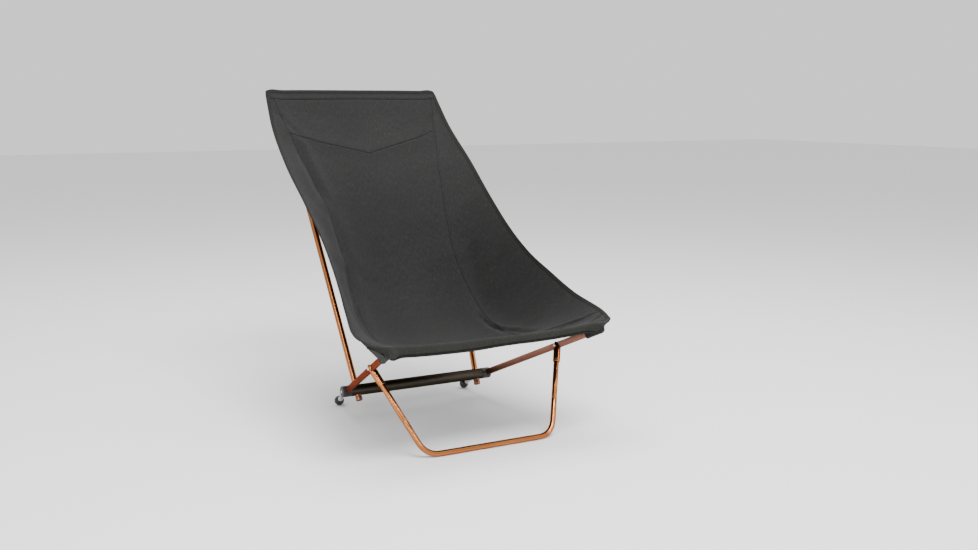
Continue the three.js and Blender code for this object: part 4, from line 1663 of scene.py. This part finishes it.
    def build(self) -> None:
        """Makes the whole sling."""
        surface, cloth, gap = self.surface, self.palette.cloth, self.seam_gap
        inner = (-SEAM + self.seam_step, SEAM - self.seam_step)
        below_hem = self.level(surface.hem_end + gap)
        hem, hem_area = self.panel(
            "top_hem_band", (-0.995, 0.995), lambda u: surface.top_edge(u) + 0.001,
            self.level(surface.hem_end - gap), (485, 24), 3.2, cloth, self.hem_thickness, 0.6,
        )
        self.soften(hem, "edge_tape", "top_hem")
        yoke, yoke_area = self.panel(
            "headrest_yoke_cloth", inner, below_hem, lambda u: surface.yoke_end(u) - gap, (400, 150), 3.0,
            cloth, self.thickness,
        )
        self.soften(yoke, "sling_fabric", "headrest_yoke")
        seat, seat_area = self.panel(
            "back_and_seat_cloth", inner, lambda u: surface.yoke_end(u) + gap, surface.front_edge,
            (320, 960), 3.1, cloth, self.thickness,
        )
        self.soften(seat, "sling_fabric", "back_panel", "seat_panel")
        for side in Side:
            ends = sorted([side.value * (SEAM + self.seam_step), side.value * 0.998])
            wing, area = self.panel(
                f"{side.label}_wing_cloth", tuple(ends), below_hem, surface.front_edge, (100, 1020), 3.1,
                cloth, self.thickness,
            )
            self.soften(wing, "sling_fabric", f"{side.label}_back_wing", f"{side.label}_seat_wing")
        front_hem = self.front_hem()
        hem_tape = self.hem_binding()
        bindings = [self.side_binding(side) for side in Side]
        top_binding = self.top_binding()
        allowances = self.allowances()
        pockets = [make(side) for make in (self.top_pocket, self.front_pocket, self.gusset) for side in Side]
        stitches = self.stitches()

    @staticmethod
    def tape_section() -> Array:
        """(inward, back) pairs of the folded binding tape."""
        return np.array(eased([
            (8.6, -0.7), (8.3, -1.3), (1.0, -1.6), (-1.2, -1.1), (-1.7, 0), (-1.2, 1.1), (1.0, 1.6),
            (8.3, 1.3), (8.6, 0.7),
        ], 0.6, 2, closed=True))

    def taped(self, name: str, path: Array, inward: Array, back: Array, section: Array,
              material: bpy.types.Material) -> bpy.types.Object:
        """Tape sewn along a line.

        Args:
            name: the piece's name.
            path: points along the line.
            inward: directions across the tape.
            back: directions that the back of the cloth faces.
            section: (inward, back) pairs of the tape's outline.
            material: the piece's finish.

        Returns:
            The new piece.
        """
        run = lengths_along(path)
        pucker = 1 + 0.07 * np.sin(run / 5.3) * np.sin(run / 17.0 + 1.0)
        points = (path[:, None] + inward[:, None] * section[None, :, :1]
                  + back[:, None] * section[None, :, 1:] * pucker[:, None, None])
        coords = np.stack(np.broadcast_arrays(lengths_round(section)[None, :], run[:, None]), axis=-1) * MM
        faces = tube_faces(len(path), len(section))
        return self.maker.mesh(name, points.reshape(-1, 3), faces, material, coords.reshape(-1, 2),
                               SHARP_TAPE)

    def allowances(self) -> list[bpy.types.Object]:
        """The turned and sewn-down allowances behind the seams.

        Returns:
            The new pieces.
        """
        hem_end, front = self.surface.hem_end, self.surface.front_end
        section = np.array(eased([
            (-5.2, 0.6), (-0.8, 1.5), (0.8, 1.5), (5.2, 0.6), (5.2, 1.6), (0.8, 2.3), (-0.8, 2.3),
            (-5.2, 1.6),
        ], 0.3, 2, closed=True))
        lines = []
        for side in Side:
            v = np.linspace(hem_end, front - 0.003, 300)
            u = np.full_like(v, side.value * SEAM)
            lines.append((f"{side.label}_seam_allowance", u, v, vec(0.01, 0.0)))
        u = np.linspace(-0.497, 0.497, 200)
        lines.append(("yoke_seam_allowance", u, self.surface.yoke_end(u), vec(0.0, 0.004)))
        u = np.linspace(-0.985, 0.985, 220)
        lines.append(("top_hem_allowance", u, np.full_like(u, hem_end), vec(0.0, 0.004)))
        pieces = []
        for name, u, v, step in lines:
            path = self.surface.at(u, v)
            across = self.surface.at(u + step[0], v + step[1]) - self.surface.at(u - step[0], v - step[1])
            back = self.surface.back_normal(u, v)
            piece = self.taped(name, path, unit(across), back, section, self.palette.cloth)
            pieces.append(self.soften(piece, "sling_fabric"))
        return pieces

    def side_binding(self, side: Side) -> bpy.types.Object:
        """The bound edge down one side of the sling.

        Args:
            side: the side that it is on.

        Returns:
            The new piece.
        """
        ends = [float(line(vec(1))[0]) for line in (self.surface.top_edge, self.surface.front_edge)]
        v = np.linspace(*ends, 300)
        u = np.full_like(v, side.value)
        edge = self.surface.at(u, v)
        inward = unit(self.surface.at(u * 0.94, v) - edge)
        back = self.surface.back_normal(u, v)
        place = vec(side.value * 0.91)
        rim = self.surface.at(place, self.surface.front_edge(place))[0]
        last = rim + vec(0, -5.0, 2.0 - self.hem_drop(rim[0]))
        turn = bezier(edge[-1], edge[-1] + unit(edge[-1] - edge[-8]) * 17 + vec(0, 0, -5), last, 18)[1:]
        share = np.linspace(0, 1, len(turn))[:, None]
        turned = side.flip(vec(-0.3, 0.3, 0.9))
        inward = np.vstack([inward, unit(inward[-1] * (1 - share) + turned * share)])
        back = np.vstack([back, unit(back[-1] * (1 - share) + vec(0.0, 1.0, 0.1) * share)])
        piece = self.taped(f"{side.label}_edge_binding", np.vstack([edge, turn]), inward, back,
                           self.tape_section(), self.palette.tape)
        return self.soften(piece, "edge_tape", f"{side.label}_back_binding", f"{side.label}_seat_binding")

    def top_binding(self) -> bpy.types.Object:
        """The bound edge along the top of the back.

        Returns:
            The new piece.
        """
        u = np.linspace(-1.0, 1.0, 240)
        v = self.surface.top_edge(u)
        edge = self.surface.at(u, v)
        along = np.gradient(edge, axis=0)
        back = self.surface.back_normal(u, v)
        inward = unit(np.cross(back, along))
        section = self.tape_section()
        piece = self.taped("top_edge_binding", edge, inward, back * 1.35, section, self.palette.tape)
        return self.soften(piece, "edge_tape")

    def hem_drop(self, x: Array) -> Array:
        """How far the front hem hangs below the seat's edge at a distance from the middle.

        Args:
            x: each point's distance from the middle.

        Returns:
            The drop at each point, in millimetres.
        """
        hang = 20.0 - 5.0 * smooth((x + 90) / 150)
        hang = hang * (1 - 0.78 * smooth((np.abs(x) - 238) / 50)) + 0.8 * np.sin(x / 61.0)
        return hang + 6.0 * np.exp(-((np.abs(x) - 246) / 15) ** 2)

    @staticmethod
    def hem_slim(x: Array) -> Array:
        """The front hem's share of its full size at a distance from the middle: it narrows at its ends."""
        return 1 - 0.55 * smooth((np.abs(x) - 250) / 42)

    def front_rim(self, u: Array) -> tuple[Array, Array]:
        """The seat's front edge, and the level directions that point out of it.

        Args:
            u: places across the sling.

        Returns:
            The points and the directions.
        """
        v = self.surface.front_edge(u)
        edge = self.surface.at(u, v)
        out = np.cross(self.surface.back_normal(u, v), np.gradient(edge, axis=0))
        out[:, 2] = 0.0
        return edge, unit(out)

    def front_hem(self) -> bpy.types.Object:
        """The rolled hem along the front of the seat, with the seam's groove above it.

        Returns:
            The new piece.
        """
        u = np.linspace(-1.0, 1.0, 260)
        top, out = self.front_rim(u)
        drop = self.hem_drop(top[:, 0])
        slim = self.hem_slim(top[:, 0])
        gather = 0.45 * np.sin(top[:, 0] / 8.0) * np.sin(top[:, 0] / 37.0 + 0.6)
        gather += 8.5 * np.exp(-((np.abs(top[:, 0]) - 257) / 17) ** 2)
        outline = [
            (-1.2, -1.6, 0.0), (0.4, -2.8, 0.0), (1.8, 0.6, 0.0), (5.6, 1.4, 0.0), (9.4, 0.0, -0.14),
            (10.2, 0.0, -0.45), (9.2, 0.0, -0.78), (6.6, 0.0, -1.0), (3.8, 0.0, -0.93), (3.2, 0.0, -0.6),
            (0.6, -4.4, 0.0), (-1.2, -3.2, 0.0),
        ]
        loop = []
        for forward, height, hang in outline:
            down = height * slim + hang * drop
            ahead = (forward + gather * (forward > 5)) * slim
            loop.append(out * ahead[:, None] + down[:, None] * vec(0, 0, 1))
        outlines = np.swapaxes(np.array(loop), 0, 1)
        rows = np.stack([np.array(eased(outline, 1.8, 3, closed=True)) for outline in outlines])
        points = top[:, None] + rows
        run = lengths_along(top)
        around = lengths_along(rows[len(u) // 2])
        coords = np.stack(np.broadcast_arrays(run[:, None], around[None, :]), axis=-1) * MM
        faces = tube_faces(len(u), rows.shape[1])
        # the hem's lighter cloth is painted light on the roll's upper face
        piece = self.maker.mesh("front_hem_roll", points.reshape(-1, 3), faces, self.palette.hem,
                                coords.reshape(-1, 2), SHARP_CLOTH)
        return self.soften(piece, "edge_tape", "front_hem")

    def hem_binding(self) -> bpy.types.Object:
        """The dark tape under the front hem.

        Returns:
            The new piece.
        """
        u = np.linspace(-0.999, 0.999, 260)
        top, out = self.front_rim(u)
        slim = self.hem_slim(top[:, 0])
        path = top + out * (6.4 * slim)[:, None] - (self.hem_drop(top[:, 0]) + 0.4)[:, None] * vec(0, 0, 1)
        outline = [(-4.6, -0.6), (4.6, -0.6), (4.2, 2.2), (0, 2.9), (-4.2, 2.2)]
        section = np.array(eased(outline, 0.9, 2, closed=True))
        level = out * slim[:, None]
        down = np.tile(vec(0, 0, -1), (len(u), 1))
        piece = self.taped("front_hem_tape", path, level, down, section, self.palette.tape)
        return self.soften(piece, "edge_tape")

    @staticmethod
    def closing(run: float, reach: float, flare: float) -> Callable[[float], float]:
        """A pocket's section along its length, flared at the mouth and rounded at the end.

        Args:
            run: the pocket's length.
            reach: how long the rounded end is.
            flare: how much wider the mouth is.

        Returns:
            The section's size for a share of the length.
        """
        def size(share: float) -> float:
            """The section's size at a share of the length."""
            left = min(run * (1 - share) / reach, 1)
            end = max(math.sqrt(max(1 - (1 - left) ** 2, 0.0)), 0.12)
            return end * (1 + flare * math.exp(-share * run / 3))

        return size

    def top_pocket(self, side: Side) -> bpy.types.Object:
        """The pocket behind a top corner, round the tip of the pole.

        Args:
            side: the side that it is on.

        Returns:
            The new piece.
        """
        lines = self.lines
        path = bezier(lines.pole_joint, lines.pole_bend, lines.pole_tip, 60)[50:]
        beyond = path[-1] + unit(path[-1] - path[-2]) * np.array([3.0, 5.5, 7.5, 9.0, 10.0, 10.5])[:, None]
        path = side.flip(np.vstack([path, beyond]))
        section = slab(2 * (lines.pole_radius + 3.2), 2 * (lines.pole_radius + 1.9), 7.0, 6)
        closing = self.closing(float(lengths_along(path)[-1]), 11.0, 0.05)
        name = f"{side.label}_top_pocket_sleeve"
        piece = self.maker.sweep(name, path, section, vec(1, 0, 0), self.palette.cloth, closing)
        return fitted(piece, Body.BACK, "edge_tape", f"{side.label}_top_pocket")

    def front_pocket(self, side: Side) -> bpy.types.Object:
        """The pocket under a front corner, round the tip of the rail.

        Args:
            side: the side that it is on.

        Returns:
            The new piece.
        """
        lines = self.lines
        steps = np.array([-46, -44, -41, -30, -15, -4, 1, 4, 6.5, 8.5, 10, 11, 11.5])[:, None]
        path = side.flip(lines.rail_front + lines.rail_way * steps)
        closing = self.closing(float(lengths_along(path)[-1]), 13.0, 0.06)
        level = unit(np.cross(path[-1] - path[0], vec(0, 0, 1)))
        piece = self.maker.sweep(f"{side.label}_front_pocket_sleeve", path, slab(14.5, 21.5, 7.0, 6), level,
                                 self.palette.cloth, closing)
        return fitted(piece, Body.SEAT, "edge_tape", f"{side.label}_front_pocket")

    def stitch_rows(self) -> list[Array]:
        """The lines that the stitches follow, on the front and the back of the cloth.

        Returns:
            One line of points for each row of stitches.
        """
        rows = []
        hem_end, front = self.surface.hem_end, self.surface.front_end
        proud = self.thickness / 2 + 0.12
        for side in Side:
            v = np.linspace(hem_end + 0.003, front - 0.003, 420)
            seam = self.surface.at(np.full_like(v, side.value * SEAM), v)
            for step in (-0.03, 0.03):
                near = self.surface.at(np.full_like(v, side.value * (SEAM + step)), v)
                reach = np.linalg.norm(near - seam, axis=-1)
                u = side.value * (SEAM + step * self.stitch_offset / reach)
                rows.append(self.face_line(u, v, proud))
                rows.append(self.face_line(u, v, -proud))
            v = np.linspace(0.004, 0.99, 420)
            u = np.full_like(v, side.value)
            edge = self.surface.at(u, v)
            inset = edge + unit(self.surface.at(u * 0.94, v) - edge) * self.tape_stitch_inset
            back = self.surface.back_normal(u, v) * self.tape_face
            rows += [inset - back, inset + back]
        u = np.linspace(-0.49, 0.49, 260)
        for offset in (-0.0034, 0.0034):
            rows.append(self.face_line(u, self.surface.yoke_end(u) + offset, proud))
            rows.append(self.face_line(u, self.surface.yoke_end(u) + offset, -proud))
        u = np.linspace(-0.97, 0.97, 260)
        rows.append(self.face_line(u, np.full_like(u, hem_end - 0.0028), self.tape_face))
        rows.append(self.face_line(u, np.full_like(u, 0.0075), 2.1))
        rows.append(self.face_line(u, np.full_like(u, 0.0075), -2.1))
        return rows

    def face_line(self, u: Array, v: Array, proud: float) -> Array:
        """Points that stand proud of the front of the cloth's middle layer, in millimetres."""
        return self.surface.at(u, v) - self.surface.back_normal(u, v) * proud

    def stitches(self) -> bpy.types.Object:
        """Every row of stitches, as one piece.

        Returns:
            The new piece.
        """
        curve = bpy.data.curves.new("stitch_rows", "CURVE")
        curve.dimensions = "3D"
        for row in self.stitch_rows():
            spline = curve.splines.new("POLY")
            spline.points.add(len(row) - 1)
            flat = np.column_stack([self.maker.place(row), np.ones(len(row))])
            spline.points.foreach_set("co", flat.astype(np.float32).ravel())
        guide = bpy.data.objects.new("stitch_rows", curve)
        bpy.context.scene.collection.objects.link(guide)
        sewing = StitchTree(self.palette.thread)
        modifier = guide.modifiers.new("stitches", "NODES")
        modifier.node_group = sewing.tree
        sewing.fill(modifier, pitch=self.stitch_pitch * MM, length=self.stitch_length * MM,
                    thickness=self.thread_width * MM)
        sewn = self.maker.settled(guide)
        bpy.data.objects.remove(guide)
        piece = bpy.data.objects.new("seam_stitches", sewn)
        bpy.context.scene.collection.objects.link(piece)
        return self.soften(piece, "sling_fabric")


class StitchTree:
    """Geometry nodes that lay stitches end to end along curves."""

    def __init__(self, thread: bpy.types.Material) -> None:
        """Builds the tree.

        Args:
            thread: the stitches' finish.
        """
        self.tree = bpy.data.node_groups.new("stitches", "GeometryNodeTree")
        face = self.tree.interface
        face.new_socket("Geometry", in_out="INPUT", socket_type="NodeSocketGeometry")
        self.sizes = {
            name: face.new_socket(name, in_out="INPUT", socket_type="NodeSocketFloat")
            for name in ("pitch", "length", "thickness")
        }
        face.new_socket("Geometry", in_out="OUTPUT", socket_type="NodeSocketGeometry")
        nodes, links = self.tree.nodes, self.tree.links
        start, end = nodes.new("NodeGroupInput"), nodes.new("NodeGroupOutput")
        spaced = nodes.new("GeometryNodeResampleCurve")
        spaced.mode = "LENGTH"
        bead = nodes.new("GeometryNodeMeshUVSphere")
        bead.inputs["Segments"].default_value = 6
        bead.inputs["Rings"].default_value = 4
        bead.inputs["Radius"].default_value = 0.5
        size = nodes.new("ShaderNodeCombineXYZ")
        tangent = nodes.new("GeometryNodeInputTangent")
        turn = nodes.new("FunctionNodeAlignRotationToVector")
        turn.axis = "X"
        place = nodes.new("GeometryNodeInstanceOnPoints")
        real = nodes.new("GeometryNodeRealizeInstances")
        dress = nodes.new("GeometryNodeSetMaterial")
        dress.inputs["Material"].default_value = thread
        rounded = nodes.new("GeometryNodeSetShadeSmooth")
        for output, target in (
            (start.outputs["Geometry"], spaced.inputs["Curve"]),
            (start.outputs["pitch"], spaced.inputs["Length"]),
            (start.outputs["length"], size.inputs["X"]),
            (start.outputs["thickness"], size.inputs["Y"]),
            (start.outputs["thickness"], size.inputs["Z"]),
            (spaced.outputs["Curve"], place.inputs["Points"]),
            (bead.outputs["Mesh"], place.inputs["Instance"]),
            (tangent.outputs["Tangent"], turn.inputs["Vector"]),
            (turn.outputs["Rotation"], place.inputs["Rotation"]),
            (size.outputs["Vector"], place.inputs["Scale"]),
            (place.outputs["Instances"], real.inputs["Geometry"]),
            (real.outputs["Geometry"], rounded.inputs["Geometry"]),
            (rounded.outputs["Geometry"], dress.inputs["Geometry"]),
            (dress.outputs["Geometry"], end.inputs["Geometry"]),
        ):
            links.new(output, target)

    def fill(self, modifier: bpy.types.Modifier, **sizes: float) -> None:
        """Sets the tree's sizes on a modifier, in metres."""
        for name, value in sizes.items():
            modifier[self.sizes[name].identifier] = value


# ---- studio -----------------------------------------------------------------------------------


@dataclass(frozen=True)
class Lamp:
    """A soft rectangular light: its place and size in metres, and its power in watts."""

    name: str
    place: tuple[float, float, float]
    size: tuple[float, float]
    power: float

    def hang(self, aim: tuple[float, float, float]) -> None:
        """Hangs the light.

        Args:
            aim: the point that it faces, in metres.
        """
        data = bpy.data.lights.new(self.name, "AREA")
        data.shape = "RECTANGLE"
        data.size, data.size_y = self.size
        data.energy = self.power
        lamp = bpy.data.objects.new(self.name, data)
        lamp.location = self.place
        lamp.rotation_euler = (Vector(aim) - Vector(self.place)).to_track_quat("-Z", "Y").to_euler()
        bpy.context.scene.collection.objects.link(lamp)


@dataclass
class Studio:
    """A pale floor, soft lights and the camera."""

    azimuth: float = -28.09
    elevation: float = 9.07
    place: tuple[float, float, float] = (-1.0699, -2.3332, 0.7413)
    lens: float = 39.28
    shift: tuple[float, float] = (0.00908, -0.00311)
    surround: float = 1.05
    floor_reach: float = 14.0
    floor_height: float = -0.0006
    aim: tuple[float, float, float] = (0.0, 0.0, 0.35)
    lamps: tuple[Lamp, ...] = (
        Lamp("key", (0.1, -1.7, 3.0), (1.8, 1.2), 110.0),
        Lamp("top", (0.2, 0.7, 3.2), (2.4, 1.6), 75.0),
        Lamp("left_strip", (-2.0, -1.6, 1.1), (0.14, 1.9), 17.0),
        Lamp("right_strip", (1.9, -2.0, 1.1), (0.14, 1.9), 15.0),
        Lamp("low_strip", (-0.6, -3.6, 1.9), (2.2, 0.12), 28.0),
    )

    def build(self) -> None:
        """Makes the studio."""
        self.camera()
        self.floor()
        for lamp in self.lamps:
            lamp.hang(self.aim)
        world = bpy.data.worlds.new("studio")
        world.use_nodes = True
        world.node_tree.nodes["Background"].inputs["Color"].default_value = (1.0, 1.0, 1.0, 1.0)
        world.node_tree.nodes["Background"].inputs["Strength"].default_value = self.surround
        bpy.context.scene.world = world

    def camera(self) -> None:
        """Places the camera."""
        data = bpy.data.cameras.new("camera")
        data.lens = self.lens
        data.shift_x, data.shift_y = self.shift
        camera = bpy.data.objects.new("camera", data)
        turn, rise = math.radians(self.azimuth), math.radians(self.elevation)
        back = Vector((math.sin(turn) * math.cos(rise), -math.cos(turn) * math.cos(rise), math.sin(rise)))
        camera.location = self.place
        camera.rotation_euler = (-back).to_track_quat("-Z", "Y").to_euler()
        bpy.context.scene.collection.objects.link(camera)
        bpy.context.scene.camera = camera

    def floor(self) -> None:
        """Lays the floor."""
        sheet = ShaderSheet("pale_floor")
        sheet.set(base_color=(0.86, 0.86, 0.86, 1.0), roughness=0.9, specular_ior_level=0.1)
        mesh = bpy.data.meshes.new("floor")
        reach, height = self.floor_reach, self.floor_height
        corners = [(x * reach, y * reach, height) for x, y in ((-1, -1), (1, -1), (1, 1), (-1, 1))]
        mesh.from_pydata(corners, [], [(0, 1, 2, 3)])
        mesh.materials.append(sheet.material)
        floor = bpy.data.objects.new("floor", mesh)
        bpy.context.scene.collection.objects.link(floor)


def main() -> None:
    """Builds the studio and the chair."""
    logging.basicConfig(level=logging.INFO, format="%(name)s: %(message)s")
    Studio().build()
    maker = Maker()
    palette = Palette()
    MetalFrame(maker, palette).build()
    Sling(maker, palette).build()


if __name__ == "__main__":
    main()
